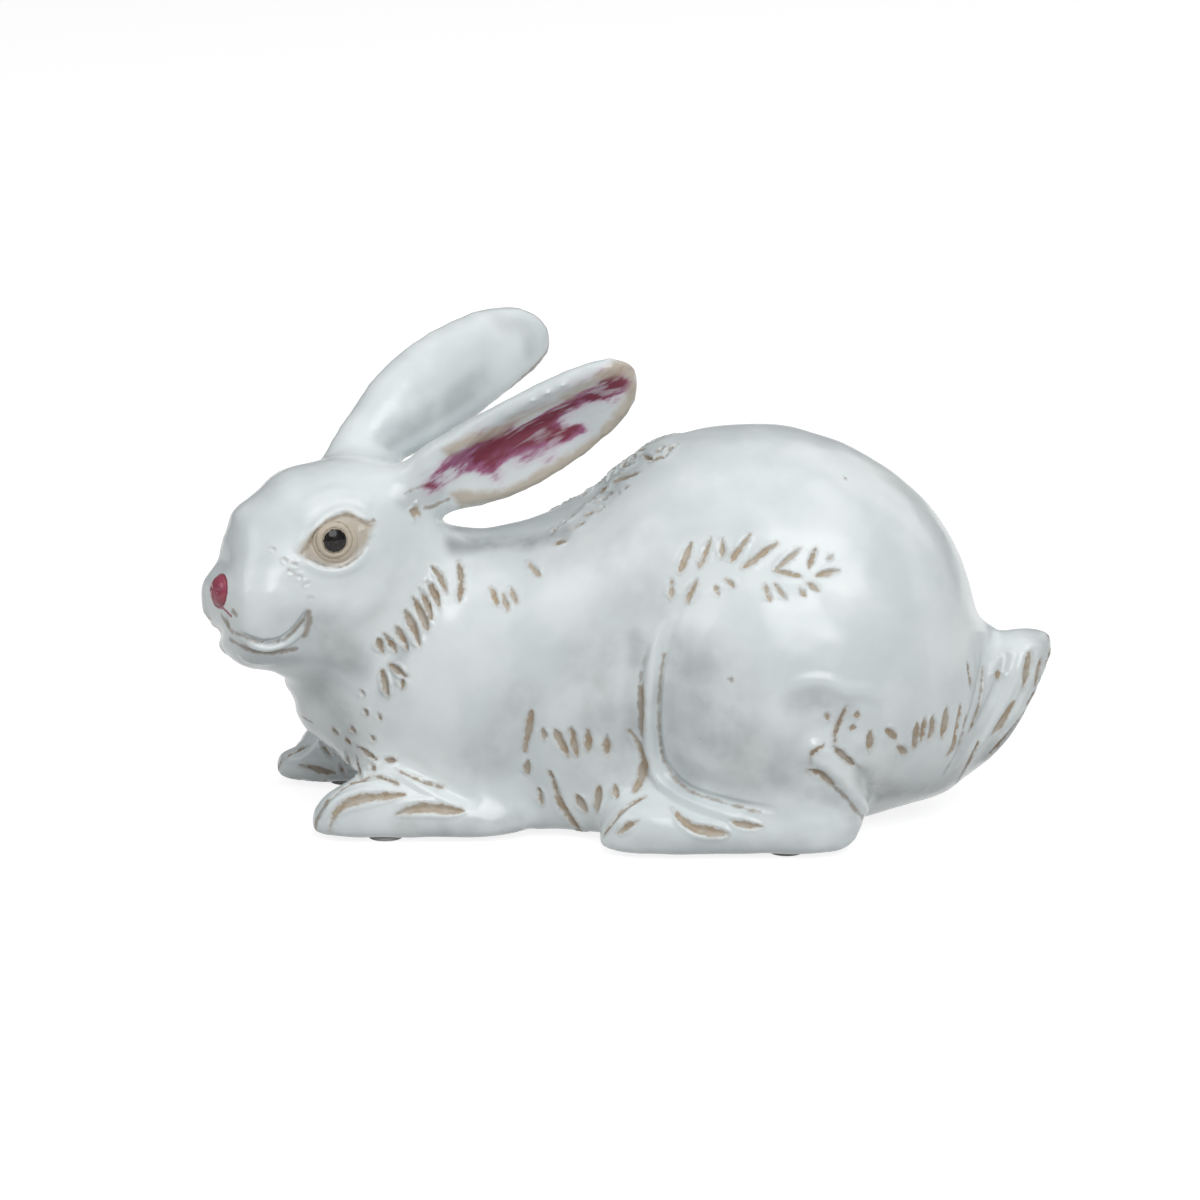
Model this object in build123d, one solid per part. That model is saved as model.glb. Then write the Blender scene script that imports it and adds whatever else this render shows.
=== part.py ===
from build123d import *
import os
from math import copysign, cos, pi, radians, sin

# A crouching rabbit in glazed stoneware. The torso and the head are hollow castings that meet in the
# ruff of the neck. The ears, the tail, the forelegs and the hind feet are cast by themselves and luted
# on. Eye and nose pellets sit in their sockets, a disc closes the pour hole, and felt pads carry the
# figure. Millimetres. The nose points to -X, the flank on show to -Y, and +Z is up. Left and right are
# the rabbit's own. Places are shares of the casting that carries them.

sides = {"left": -1, "right": 1}

# Shared by all castings
wall = 5.0                       # thickness that the slip leaves on the mould
lute_gap = 0.3                   # slip-filled clearance round tenons, pellets and the closing disc
outline_points = 12              # points of one egg-shaped section
egg_power = 2.15                 # 2 is an ellipse, more is squarer

# Torso, from the front of the chest to the back of the rump
torso_length = 247.0
torso_height = 140.0
torso_half_width = 60.0
torso_front_share = 0.494        # how much of the torso lies ahead of the figure's middle
# each row: along, then crown, middle and floor heights, then half width
torso_shares = [
    (0.018, 0.430, 0.360, 0.29, 0.12),
    (0.034, 0.510, 0.360, 0.22, 0.30),
    (0.070, 0.600, 0.360, 0.15, 0.48),
    (0.140, 0.680, 0.360, 0.07, 0.63),
    (0.235, 0.725, 0.355, -0.03, 0.72),
    (0.340, 0.750, 0.360, -0.13, 0.77),
    (0.437, 0.825, 0.390, -0.19, 0.85),
    (0.526, 0.940, 0.430, -0.19, 0.90),
    (0.632, 1.000, 0.460, -0.16, 0.96),
    (0.745, 0.990, 0.460, -0.11, 0.98),
    (0.842, 0.920, 0.450, -0.01, 0.95),
    (0.920, 0.815, 0.430, 0.035, 0.82),
    (0.975, 0.675, 0.400, 0.070, 0.60),
    (1.000, 0.535, 0.370, 0.135, 0.32),
]
torso_hollow_rows = slice(2, 13)  # the stations that the cavity reaches

# Haunches, half sizes along, across and up
haunch_half_sizes = (50.0, 24.0, 48.0)
haunch_place_shares = (0.700, 0.77, 0.385)

# Head, from the back of the skull to the tip of the muzzle
head_length = 92.0
head_height = 77.0
head_half_width = 30.0
head_turn = 33.0                 # degrees towards the flank on show
skull_place_shares = (0.225, 0.167, 0.393)  # foot of the skull's back, in shares of the torso
# each row: along, then crown, middle and jaw heights, then half width
head_shares = [
    (0.020, 0.680, 0.540, 0.380, 0.34),
    (0.066, 0.820, 0.550, 0.240, 0.62),
    (0.184, 0.940, 0.540, 0.080, 0.90),
    (0.378, 1.005, 0.510, 0.010, 1.00),
    (0.557, 0.980, 0.480, 0.000, 0.96),
    (0.705, 0.915, 0.440, 0.020, 0.83),
    (0.812, 0.825, 0.415, 0.040, 0.73),
    (0.897, 0.720, 0.395, 0.085, 0.69),
    (0.953, 0.615, 0.380, 0.160, 0.65),
    (0.988, 0.520, 0.370, 0.250, 0.53),
]
head_hollow_rows = slice(1, 8)    # the tip of the muzzle fills with slip

# Neck joint, a flat face from behind the ears down to the foot of the chest
neck_place_shares = (0.227, 0.0, 0.750)
neck_slope = 63.0                # degrees above level, seen from the side

# Ears, long scoops laid back over the nape
ear_length = {"left": 92.0, "right": 94.5}
ear_half_width = {"left": 19.0, "right": 17.5}
ear_half_depth = 8.5
ear_wall = 4.2
ear_bow = {"left": -4.5, "right": 5.0}     # how far the middle rises over the line of the ends
ear_rise = {"left": 29.5, "right": 22.0}   # degrees above level
ear_splay = {"left": 38.0, "right": 6.0}  # degrees out from the head's own middle line
ear_facing_shares = {"left": (0.0, -1.0, -0.60), "right": (-0.30, 1.0, -0.30)}
ear_root_shares = {"left": (0.233, 0.52, 0.86), "right": (0.255, 0.66, 0.95)}
ear_core_share = 0.51            # height in the head that the sockets of both ears point to
# each row: along, then half width and half depth
ear_shares = [
    (-0.14, 0.50, 0.70),
    (0.06, 0.74, 0.90),
    (0.26, 0.98, 1.00),
    (0.46, 1.05, 1.00),
    (0.66, 0.99, 0.95),
    (0.84, 0.83, 0.80),
    (0.95, 0.56, 0.58),
    (1.00, 0.26, 0.34),
]
# each row: along, then half width and depth of the hollow
scoop_shares = [
    (0.10, 0.12, 0.20),
    (0.20, 0.42, 0.62),
    (0.34, 0.72, 0.92),
    (0.50, 0.84, 1.00),
    (0.68, 0.80, 1.00),
    (0.84, 0.62, 0.85),
    (0.93, 0.36, 0.60),
    (0.97, 0.14, 0.35),
]

# Tenons that key the ears and the tail into blind sockets
tenon_radius = 4.5
tenon_depth = 2.4                # reach into the wall
tenon_stem = 4.0                 # reach into the piece that it belongs to

# Eyes and nose, pellets pressed into sockets. Half sizes across, up and into the head
eye_half_sizes = (8.4, 7.8, 3.2)
eye_place_shares = (0.572, 0.69)  # along the head and up it
eye_lean = 12.0                  # degrees that an eye looks forward of square to the head
nose_half_sizes = (4.8, 5.6, 3.4)
nose_up_share = 0.39
nose_lean = 8.0                  # degrees that the nose looks up
pellet_sunk_share = 0.25         # how much of its half depth a pellet's middle lies under the skin

# Tail, a scut turned up against the rump
tail_height = 57.0
tail_length = 27.0
tail_half_width = 15.0
tail_foot_share = 0.070          # height of the scut's foot, in shares of the torso
tail_socket_share = 0.330
# each row: height, then front and back reach along the figure, then half width
tail_shares = [
    (0.00, -0.28, -0.02, 0.30),
    (0.12, -0.40, 0.20, 0.55),
    (0.30, -0.45, 0.48, 0.86),
    (0.50, -0.45, 0.72, 1.00),
    (0.70, -0.35, 0.90, 0.96),
    (0.86, -0.05, 1.02, 0.78),
    (0.96, 0.22, 1.06, 0.54),
    (1.00, 0.50, 1.00, 0.26),
]

# Forelegs, forearm and paw along the ground
foreleg_length = 84.0
foreleg_height = 20.0
foreleg_half_width = 11.5
foreleg_out_share = 0.61         # of the torso's half width
foreleg_tip_shares = {"left": 0.040, "right": -0.028}  # where the paw ends, along the torso
foreleg_pad_share = 0.32
# each row: along, then crown height and half width
foreleg_shares = [
    (0.00, 0.34, 0.32),
    (0.05, 0.66, 0.68),
    (0.14, 0.92, 0.92),
    (0.27, 1.14, 1.00),
    (0.42, 1.08, 1.00),
    (0.58, 0.88, 0.97),
    (0.76, 0.66, 0.88),
    (0.92, 0.48, 0.66),
    (1.00, 0.30, 0.36),
]

# Hind feet, flat along the ground under the haunches
foot_length = 95.0
foot_height = 20.0
foot_half_width = 13.5
foot_out_share = 0.92            # of the torso's half width
foot_tip_share = 0.452           # where the toes end, along the torso
foot_pad_share = 0.70
foot_shares = [
    (0.00, 0.34, 0.32),
    (0.05, 0.72, 0.70),
    (0.14, 0.98, 0.92),
    (0.28, 0.92, 1.00),
    (0.50, 0.84, 1.00),
    (0.74, 0.92, 0.96),
    (0.88, 1.08, 0.84),
    (0.96, 0.86, 0.60),
    (1.00, 0.50, 0.32),
]

# Pour hole in the torso's floor, and the disc that closes it
disc_radius = 15.0
disc_thickness = 2.5
disc_ledge = 3.0                 # width of the step that the disc is luted to
disc_place_share = 0.46
vent_radius = 1.5                # lets steam out in the kiln

# Felt pads
pad_radius = 6.0
pad_thickness = 1.2


def torso_spot(along, out, up):
    """A place given in shares of the torso."""
    return Vector(
        torso_length * (along - torso_front_share),
        torso_half_width * out,
        torso_height * up,
    )


upward = Vector(0, 0, 1)
head_axis = Vector(-cos(radians(head_turn)), -sin(radians(head_turn)), 0)
head_left = upward.cross(head_axis)


def head_spot(along, out, up):
    """A place given in shares of the head, with out counted towards the rabbit's left."""
    return (
        torso_spot(*skull_place_shares)
        + head_axis * (head_length * along)
        + head_left * (head_half_width * out)
        + upward * (head_height * up)
    )


def egg(plane, half_width, crown, middle, floor):
    """A closed egg-shaped outline: half_width to each side of middle, up to crown, down to floor."""
    points = []
    for k in range(outline_points):
        turn = 2 * pi * k / outline_points
        across, up = sin(turn), cos(turn)
        reach = crown - middle if up > 0 else middle - floor
        points.append(plane.from_local_coords(Vector(
            half_width * copysign(abs(across) ** (2 / egg_power), across),
            middle + reach * copysign(abs(up) ** (2 / egg_power), up),
        )))
    return Wire([Edge.make_spline(points, periodic=True)])


def ellipsoid(half_sizes):
    """A solid egg about the origin, with half sizes along X, Y and Z."""
    longest = max(half_sizes)
    return scale(Solid.make_sphere(longest), by=tuple(size / longest for size in half_sizes))


def all_above(height):
    """A block that holds all that is over a level."""
    reach = torso_length + head_length
    return Pos(0, 0, height + reach) * Box(2 * reach, 2 * reach, 2 * reach)


def torso_loft(rows, inset=0.0):
    """The trunk through its stations, or its cavity when inset by the wall."""
    wires = []
    for along, crown, middle, floor, width in rows:
        station = Plane(origin=torso_spot(along, 0, 0), x_dir=(0, 1, 0), z_dir=(1, 0, 0))
        wires.append(egg(
            station,
            torso_half_width * width - inset,
            torso_height * crown - inset,
            torso_height * middle,
            torso_height * floor + inset,
        ))
    return Solid.make_loft(wires)


def head_loft(rows, inset=0.0):
    """The head through its stations, or its cavity when inset by the wall."""
    wires = []
    for along, crown, middle, jaw, width in rows:
        station = Plane(origin=head_spot(along, 0, 0), x_dir=head_left, z_dir=head_axis)
        wires.append(egg(
            station,
            head_half_width * width - inset,
            head_height * crown - inset,
            head_height * middle,
            head_height * jaw + inset,
        ))
    return Solid.make_loft(wires)


def body(rows, floor_height, inset=0.0):
    """The trunk with both haunches, flat underneath, or the cavity when inset by the wall."""
    along, out, up = haunch_place_shares
    haunch = ellipsoid([size - inset for size in haunch_half_sizes])
    made = torso_loft(rows, inset)
    for side in sides.values():
        made = made + haunch.moved(Location(torso_spot(along, side * out, up)))
    return made & all_above(floor_height)


def skin_point(form, start, direction):
    """Where a line that starts inside a form and runs along direction leaves it."""
    line = Edge.make_line(start, start + direction * (torso_length + head_length))
    return max(form.intersect(line).vertices(), key=lambda end: (end.center() - start).length).center()


def pellet(place, outward, half_sizes, clearance=0.0):
    """A domed pellet sunk into the skin at a place, or its socket with a clearance."""
    grown = [size + clearance for size in half_sizes]
    middle = place - outward * (half_sizes[2] * pellet_sunk_share)
    across = upward.cross(outward)
    return Plane(origin=middle, x_dir=across, z_dir=outward).location * ellipsoid(grown)


def tenon(place, outward, clearance=0.0):
    """A peg that reaches into the wall under a place, or its socket with a clearance."""
    start = place - outward * (tenon_depth + clearance)
    peg = Solid.make_cylinder(tenon_radius + clearance, tenon_depth + tenon_stem + clearance)
    return Plane(origin=start, z_dir=outward).location * peg


def ear_frame(side):
    """The ear's root, its long direction and the way that its scoop faces."""
    splay, rise = radians(ear_splay[side]), radians(ear_rise[side])
    level = head_axis * -cos(splay) + head_left * (-sides[side] * sin(splay))
    long_way = level * cos(rise) + upward * sin(rise)
    facing = Vector(*ear_facing_shares[side])
    facing = (facing - long_way * facing.dot(long_way)).normalized()
    along, out, up = ear_root_shares[side]
    return head_spot(along, -sides[side] * out, up), long_way, facing


def ear_station(side, along):
    """The plane across the ear at a share of its length, with its y the way that the scoop faces."""
    root, long_way, facing = ear_frame(side)
    bow = ear_bow[side] * 4 * along * (1 - along)
    origin = root + long_way * (ear_length[side] * along) + upward * bow
    return Plane(origin=origin, x_dir=facing.cross(long_way), z_dir=long_way)


def ear_outside(side):
    wires = []
    for along, width, depth in ear_shares:
        half_depth = ear_half_depth * depth
        wires.append(egg(ear_station(side, along), ear_half_width[side] * width, half_depth, 0, -half_depth))
    return Solid.make_loft(wires)


def ear_scoop(side):
    wires = []
    for along, width, depth in scoop_shares:
        reach = (2 * ear_half_depth - ear_wall) * depth
        wires.append(egg(
            ear_station(side, along),
            ear_half_width[side] * width,
            ear_half_depth + reach,
            ear_half_depth,
            ear_half_depth - reach,
        ))
    return Solid.make_loft(wires)


def ground_limb(tip, length, height, half_width, rows):
    """A leg or foot that lies along the ground, from its tip back."""
    wires = []
    for along, crown, width in rows:
        station = Plane(origin=tip + Vector(length * along, 0, 0), x_dir=(0, 1, 0), z_dir=(1, 0, 0))
        rise = height * crown
        wires.append(egg(station, half_width * width, pad_thickness + rise, rise / 2, -rise / 2))
    return Solid.make_loft(wires) & all_above(pad_thickness)


def tail_outside():
    wires = []
    foot = torso_spot(1, 0, tail_foot_share)
    for height, front, back, width in tail_shares:
        middle = foot + Vector(tail_length * (front + back) / 2, 0, tail_height * height)
        half_width = tail_half_width * width
        wires.append(egg(Plane(origin=middle), tail_length * (back - front) / 2, half_width, 0, -half_width))
    return Solid.make_loft(wires)


def pad(tip, length, share):
    """A felt pad under a leg or foot, at a share of its length."""
    return Pos(tip.X + length * share, tip.Y, 0) * Solid.make_cylinder(pad_radius, pad_thickness)


# Hollow shell of torso and head in one, before it is parted at the neck
torso_form = body(torso_shares, pad_thickness)
head_form = head_loft(head_shares)
whole_form = torso_form + head_form
cavity = body(torso_shares[torso_hollow_rows], pad_thickness + wall, wall)
cavity = cavity + head_loft(head_shares[head_hollow_rows], wall)
shell = whole_form - cavity

turn, slope = radians(head_turn / 2), radians(neck_slope)
neck_facing = Vector(-sin(slope) * cos(turn), -sin(slope) * sin(turn), cos(slope))
neck_plane = Plane(origin=torso_spot(*neck_place_shares), z_dir=neck_facing)
nodes = {
    "torso": split(shell, bisect_by=neck_plane, keep=Keep.BOTTOM),
    "head": split(shell, bisect_by=neck_plane, keep=Keep.TOP),
}

# Ears, each keyed into the skull by a tenon
for side in sides:
    root, long_way, facing = ear_frame(side)
    along, out, up = ear_root_shares[side]
    core = head_spot(along, 0, ear_core_share)
    outward = (root - core).normalized()
    seat = skin_point(head_form, core, outward)
    nodes[f"ear_{side}"] = ear_outside(side) - ear_scoop(side) - head_form + tenon(seat, outward)
    nodes["head"] = nodes["head"] - tenon(seat, outward, lute_gap)

# Eyes and nose
eye_along, eye_up = eye_place_shares
for side, sign in sides.items():
    core = head_spot(eye_along, 0, eye_up)
    outward = head_left * (-sign * cos(radians(eye_lean))) + head_axis * sin(radians(eye_lean))
    seat = skin_point(head_form, core, outward)
    nodes[f"eye_{side}"] = pellet(seat, outward, eye_half_sizes)
    nodes["head"] = nodes["head"] - pellet(seat, outward, eye_half_sizes, lute_gap)
core = head_spot(eye_along, 0, nose_up_share)
outward = head_axis * cos(radians(nose_lean)) + upward * sin(radians(nose_lean))
seat = skin_point(head_form, core, outward)
nodes["nose"] = pellet(seat, outward, nose_half_sizes)
nodes["head"] = nodes["head"] - pellet(seat, outward, nose_half_sizes, lute_gap)

# Tail, keyed into the rump
rearward = Vector(1, 0, 0)
seat = skin_point(torso_form, torso_spot(torso_front_share, 0, tail_socket_share), rearward)
nodes["tail"] = tail_outside() - torso_form + tenon(seat, rearward)
nodes["torso"] = nodes["torso"] - tenon(seat, rearward, lute_gap)

# Forelegs and hind feet, luted against the torso
for side, sign in sides.items():
    tip = torso_spot(foreleg_tip_shares[side], sign * foreleg_out_share, 0)
    limb = ground_limb(tip, foreleg_length, foreleg_height, foreleg_half_width, foreleg_shares)
    nodes[f"foreleg_{side}"] = limb - whole_form
    nodes[f"pad_front_{side}"] = pad(tip, foreleg_length, foreleg_pad_share)
    tip = torso_spot(foot_tip_share, sign * foot_out_share, 0)
    nodes[f"pad_hind_{side}"] = pad(tip, foot_length, foot_pad_share)
tip = torso_spot(foot_tip_share, foot_out_share, 0)
foot = ground_limb(tip, foot_length, foot_height, foot_half_width, foot_shares) - torso_form
nodes["hind_foot_right"] = foot
nodes["hind_foot_left"] = mirror(foot, about=Plane.XZ)

# Pour hole with a step, and the disc luted up against the step
disc_place = Pos(torso_spot(disc_place_share, 0, 0).X, 0, pad_thickness)
hole = Solid.make_cylinder(disc_radius - disc_ledge, 2 * wall)
rebate = Solid.make_cylinder(disc_radius + lute_gap, disc_thickness)
disc = Solid.make_cylinder(disc_radius, disc_thickness) - Solid.make_cylinder(vent_radius, disc_thickness)
nodes["torso"] = nodes["torso"] - disc_place * hole - disc_place * rebate
nodes["base_disc"] = disc_place * disc

# The figure's own frame: the middle of its box, on the ground
box = Compound(list(nodes.values())).bounding_box()
to_frame = Pos(-(box.min.X + box.max.X) / 2, -(box.min.Y + box.max.Y) / 2, -box.min.Z)

os.makedirs("parts", exist_ok=True)
for name, shape in nodes.items():
    placed = to_frame * shape
    export_step(placed, f"parts/{name}.step")
    print(name, len(placed.solids()), round(placed.volume), placed.is_valid)
print("box", box.size, "shift", -(box.min.X + box.max.X) / 2, -(box.min.Y + box.max.Y) / 2)
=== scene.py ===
from math import cos, exp, hypot, radians, sin

import bmesh
import bpy
import numpy as np
from mathutils import Color, Matrix, Vector, noise
from mathutils.bvhtree import BVHTree


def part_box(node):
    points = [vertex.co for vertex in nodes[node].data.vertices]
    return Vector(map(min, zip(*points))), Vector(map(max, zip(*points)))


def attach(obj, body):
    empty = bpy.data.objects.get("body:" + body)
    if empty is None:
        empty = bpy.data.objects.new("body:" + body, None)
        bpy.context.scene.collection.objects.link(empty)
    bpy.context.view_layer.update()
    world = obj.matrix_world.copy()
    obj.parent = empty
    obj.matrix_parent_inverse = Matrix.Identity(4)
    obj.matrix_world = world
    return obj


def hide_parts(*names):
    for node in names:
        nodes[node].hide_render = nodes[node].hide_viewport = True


bl_info = {
    "name": "Ceramic rabbit figurine",
    "version": (1, 0, 0),
    "blender": (4, 5, 0),
    "location": "3D View > Sidebar > Rabbit",
    "description": "A glazed stoneware rabbit with carved fur, built round its castings",
    "category": "Object",
}

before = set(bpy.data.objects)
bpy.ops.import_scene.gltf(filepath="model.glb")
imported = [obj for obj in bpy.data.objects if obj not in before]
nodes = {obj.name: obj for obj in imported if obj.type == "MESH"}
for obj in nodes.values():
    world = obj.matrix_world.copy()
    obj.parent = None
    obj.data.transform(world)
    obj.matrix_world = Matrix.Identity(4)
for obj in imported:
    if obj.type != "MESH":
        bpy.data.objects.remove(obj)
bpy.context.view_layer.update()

# Lengths in the tables are millimetres, and the mesh is in metres
MM = 0.001

# The stand point: where the camera stands, and from where the carving tables are read
picture_width = 1200
picture_middle = picture_width / 2
focal_pixels = 6160
sensor_width = 36.0
sight_range = (0.05, 50)
view_aim = Vector((-10.36, 0.0, 77.2)) * MM
view_distance = 2.2
view_rise = radians(14)
view_ahead = Vector((0, cos(view_rise), -sin(view_rise)))
view_right = Vector((1, 0, 0))
view_up = Vector((0, sin(view_rise), cos(view_rise)))
view_place = view_aim - view_ahead * view_distance
stand_point, ahead = np.array(view_place), np.array(view_ahead)
# Millimetres at the aim for each picture point
picture_scale = view_distance / focal_pixels / MM

castings = (
    "torso",
    "head",
    "ear_left",
    "ear_right",
    "tail",
    "foreleg_left",
    "foreleg_right",
    "hind_foot_left",
    "hind_foot_right",
)
pellets = ("eye_left", "eye_right", "nose")

# What the skin carries for the glaze: how far each point lies inside a colour, and how strong a cast is
# Of these, the last tint and the shade cast are painted shade: they darken the glaze where shade falls. The
# dark cast darkens bared clay.
tints = ("bare", "crimson", "red", "beige", "brown", "grey")
casts = ("shade", "dark")
untinted = -9.0

# Carving tools: half width of the stroke, depth, how far clay is bared, height of the lips, darkness
flank_gouge = (1.2, 0.7, 0.8, 0.5, 0.3)
fur_gouge = (1.5, 0.8, 0.85, 0.45, 0.6)
ruff_gouge = (1.4, 0.9, 0.9, 0.8, 0.7)
fine_gouge = (1.1, 0.7, 0.75, 0.35, 0.9)
rope_gouge = (1.25, 1.0, 0.75, 0.75, 0.95)
thin_gouge = (0.9, 0.6, 0.85, 0.25, 0.95)
dark_gouge = (1.5, 0.8, 0.8, 0.4, 1.0)
wide_gouge = (2.1, 0.8, 0.85, 0.5, 0.5)
point = (0.8, 0.45, -0.6, 0.3, 0.0)

# The hand that carves: its seed, how its width and taper wander, and how full a stroke's ends stay
hand_seed = 7
width_wander, taper_wander = (0.85, 1.15), (0.75, 1.35)
cut_taper, form_taper = 2.4, 4
end_width, end_depth = 0.3, 0.5
# Lips, dark edge and full reach of a stroke, in shares of its width, and the reach's margin
lip_place, lip_sharpness, dark_reach, cut_reach, cut_margin = 1.5, 5, 1.6, 3, 1

# Carved fur. Each stroke is a run of picture points seen from the stand point
spine_tufts = (
    ((648, 443), (668, 433)),
    ((642, 455), (653, 460)),
    ((616, 481), (639, 473)),
    ((596, 503), (613, 493)),
    ((586, 515), (593, 512)),
    ((570, 529), (584, 523)),
    ((554, 545), (566, 541)),
)
spine_ticks = (
    ((657, 437), (676, 430)),
    ((632, 458), (646, 449)),
    ((622, 468), (634, 463)),
    ((606, 482), (620, 474)),
    ((600, 493), (608, 486)),
    ((582, 506), (595, 498)),
    ((562, 524), (573, 516)),
    ((550, 534), (558, 528)),
    ((664, 447), (658, 452)),
    ((628, 487), (621, 490)),
    ((604, 507), (598, 511)),
)
shoulder_tufts = (
    ((527, 561), (540, 576)),
    ((491, 587), (497, 605)),
    ((503, 594), (508, 610)),
    ((511, 587), (516, 603)),
)
ruff_tufts = (
    ((431, 566), (440, 576), (447, 594)),
    ((427, 581), (434, 592), (440, 608)),
    ((419, 588), (426, 601), (432, 619)),
    ((413, 597), (421, 612), (428, 631)),
    ((405, 610), (413, 626), (420, 648)),
    ((395, 626), (402, 636), (408, 650)),
    ((384, 634), (391, 643), (396, 652)),
    ((378, 638), (383, 652)),
    ((390, 664), (407, 677)),
    ((402, 679), (402, 687)),
    ((382, 669), (385, 683), (388, 697)),
    ((459, 562), (461, 582), (459, 601)),
)
flank_tufts = (
    ((691, 543), (679, 573)),
    ((711, 538), (700, 568)),
    ((722, 538), (722, 557)),
    ((750, 534), (731, 561)),
    ((777, 543), (743, 568)),
    ((801, 548), (774, 571)),
    ((774, 571), (800, 576)),
    ((816, 548), (809, 568)),
    ((833, 555), (828, 561)),
    ((816, 576), (838, 570)),
    ((672, 579), (671, 598)),
    ((697, 580), (687, 602)),
    ((715, 586), (719, 596)),
    ((727, 580), (734, 588)),
    ((765, 584), (770, 600)),
    ((775, 584), (787, 600)),
    ((800, 589), (805, 596)),
    ((809, 584), (818, 591)),
)
belly_tufts = (
    ((532, 710), (525, 750)),
    ((528, 760), (527, 774)),
    ((543, 729), (544, 739)),
    ((555, 730), (568, 755)),
    ((571, 728), (577, 756)),
    ((588, 730), (588, 750)),
    ((607, 735), (607, 755)),
    ((642, 686), (642, 710), (642, 735)),
    ((550, 771), (563, 807), (586, 837)),
    ((539, 788), (542, 805)),
    ((577, 795), (587, 812)),
    ((600, 786), (597, 812)),
    ((615, 785), (617, 798)),
)
belly_sweeps = (
    ((629, 730), (643, 752), (644, 773), (635, 791)),
)
rump_tufts = (
    ((870, 732), (869, 752)),
    ((886, 729), (896, 739)),
    ((897, 746), (906, 753)),
    ((917, 723), (914, 748)),
    ((925, 718), (921, 740)),
    ((933, 716), (929, 741)),
    ((947, 707), (942, 738)),
    ((960, 706), (954, 742), (948, 754)),
    ((857, 712), (857, 717)),
    ((853, 725), (852, 730)),
    ((826, 713), (828, 720)),
)
rump_lines = (
    ((847, 706), (837, 726), (834, 747)),
    ((967, 662), (971, 688)),
    ((982, 668), (980, 700), (970, 731)),
    ((966, 716), (958, 748), (944, 774)),
    ((810, 763), (813, 752), (824, 745)),
)
rump_hook = (
    ((833, 746), (845, 757), (860, 769)),
)
tail_tufts = (
    ((1030, 652), (1027, 668), (1024, 689)),
    ((1041, 659), (1035, 685)),
    ((999, 671), (998, 679)),
)
tail_sweeps = (
    ((1014, 702), (1005, 717), (993, 734)),
)
tail_root = (
    ((978, 742), (968, 762), (957, 782)),
    ((1050, 650), (1043, 674), (1027, 704)),
    ((1024, 712), (1008, 734), (984, 760)),
)
hind_foot_tufts = (
    ((637, 821), (617, 833)),
    ((730, 821), (745, 825), (762, 827)),
    ((808, 770), (821, 773), (833, 785)),
)
hind_foot_lines = (
    ((646, 796), (622, 812), (603, 836)),
)
hind_foot_sweeps = (
    ((672, 809), (692, 827), (729, 834)),
)
near_paw_tufts = (
    ((329, 829), (335, 813), (348, 803), (375, 797), (404, 795)),
    ((397, 814), (422, 808), (464, 811)),
)
near_paw_creases = (
    ((396, 769), (415, 779), (443, 788)),
    ((378, 779), (350, 784), (327, 802)),
    ((398, 784), (380, 777), (360, 779)),
)
far_paw_tufts = (
    ((299, 765), (315, 769), (336, 774)),
    ((306, 784), (325, 787), (346, 787)),
)
far_paw_lines = (
    ((276, 772), (286, 757), (309, 746)),
    ((277, 778), (290, 784), (303, 786)),
)
chest_tufts = (
    ((357, 747), (366, 752), (376, 759)),
    ((357, 757), (361, 781)),
    ((332, 747), (346, 763)),
    ((346, 752), (352, 771)),
    ((320, 742), (333, 758)),
    ((340, 763), (345, 776)),
    ((371, 735), (375, 742)),
    ((386, 760), (397, 761)),
    ((369, 763), (375, 770)),
)
chest_ticks = (
    ((364, 709), (367, 714)),
    ((351, 726), (355, 733)),
    ((346, 738), (350, 744)),
    ((333, 728), (338, 736)),
    ((361, 690), (364, 697)),
    ((378, 713), (381, 720)),
)
whisker_pits = (
    ((271, 548), (275, 550)),
    ((283, 558), (287, 562)),
    ((288, 570), (294, 573)),
    ((297, 575), (302, 578)),
    ((303, 586), (309, 582)),
    ((309, 597), (314, 599)),
    ((293, 563), (297, 566)),
)
ear_spot = (
    ((411, 511), (418, 513)),
)

# Broad forms: runs of picture points, half width, and height over the skin in millimetres
trunk_forms = (
    (
        (
            (706, 596), (684, 620), (670, 650), (664, 690), (664, 730), (670, 762), (688, 784), (712, 798),
            (744, 805),
        ),
        11.0,
        -2.6,
    ),
    (((640, 640), (630, 680), (630, 720), (636, 760)), 6.0, -1.2),
    (((857, 734), (857, 752)), 4.0, 0.9),
    (((803, 706), (820, 706), (838, 712)), 8.0, -1.3),
    (((806, 724), (822, 728), (832, 735)), 7.0, -1.2),
    (((805, 748), (826, 762), (848, 785), (866, 812)), 5.5, 2.4),
    (((548, 650), (536, 690), (527, 730), (524, 770), (528, 805), (536, 835)), 7.0, -1.6),
    (((470, 590), (448, 604), (430, 632), (412, 665), (400, 700)), 6.0, 1.4),
    (((436, 585), (420, 605), (405, 630), (393, 660), (386, 690)), 7.0, -1.2),
    (((552, 541), (575, 522), (600, 497), (625, 473), (650, 449), (676, 434)), 6.0, 1.2),
    (((985, 650), (980, 690), (968, 730), (956, 760)), 5.0, -2.0),
    (((470, 540), (500, 548), (530, 552)), 8.0, -1.0),
)
ear_forms = (
    (((382, 448), (410, 431), (440, 412), (472, 388), (500, 362)), 5.5, -1.0),
    (((443, 457), (479, 440), (519, 423), (555, 408), (590, 388), (618, 368)), 4.0, 0.7),
)
foreleg_forms = (
    (((395, 757), (418, 770), (440, 785), (462, 796), (480, 803)), 4.2, -1.5),
)
brow_forms = (
    (((296, 588), (330, 600), (352, 590)), 9.0, 0.8),
    (((292, 522), (318, 500), (346, 493), (374, 505)), 5.5, 0.8),
    (((345, 618), (366, 606), (388, 590)), 7.0, 0.9),
    (((262, 590), (280, 604), (304, 600)), 8.0, 0.7),
)

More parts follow.
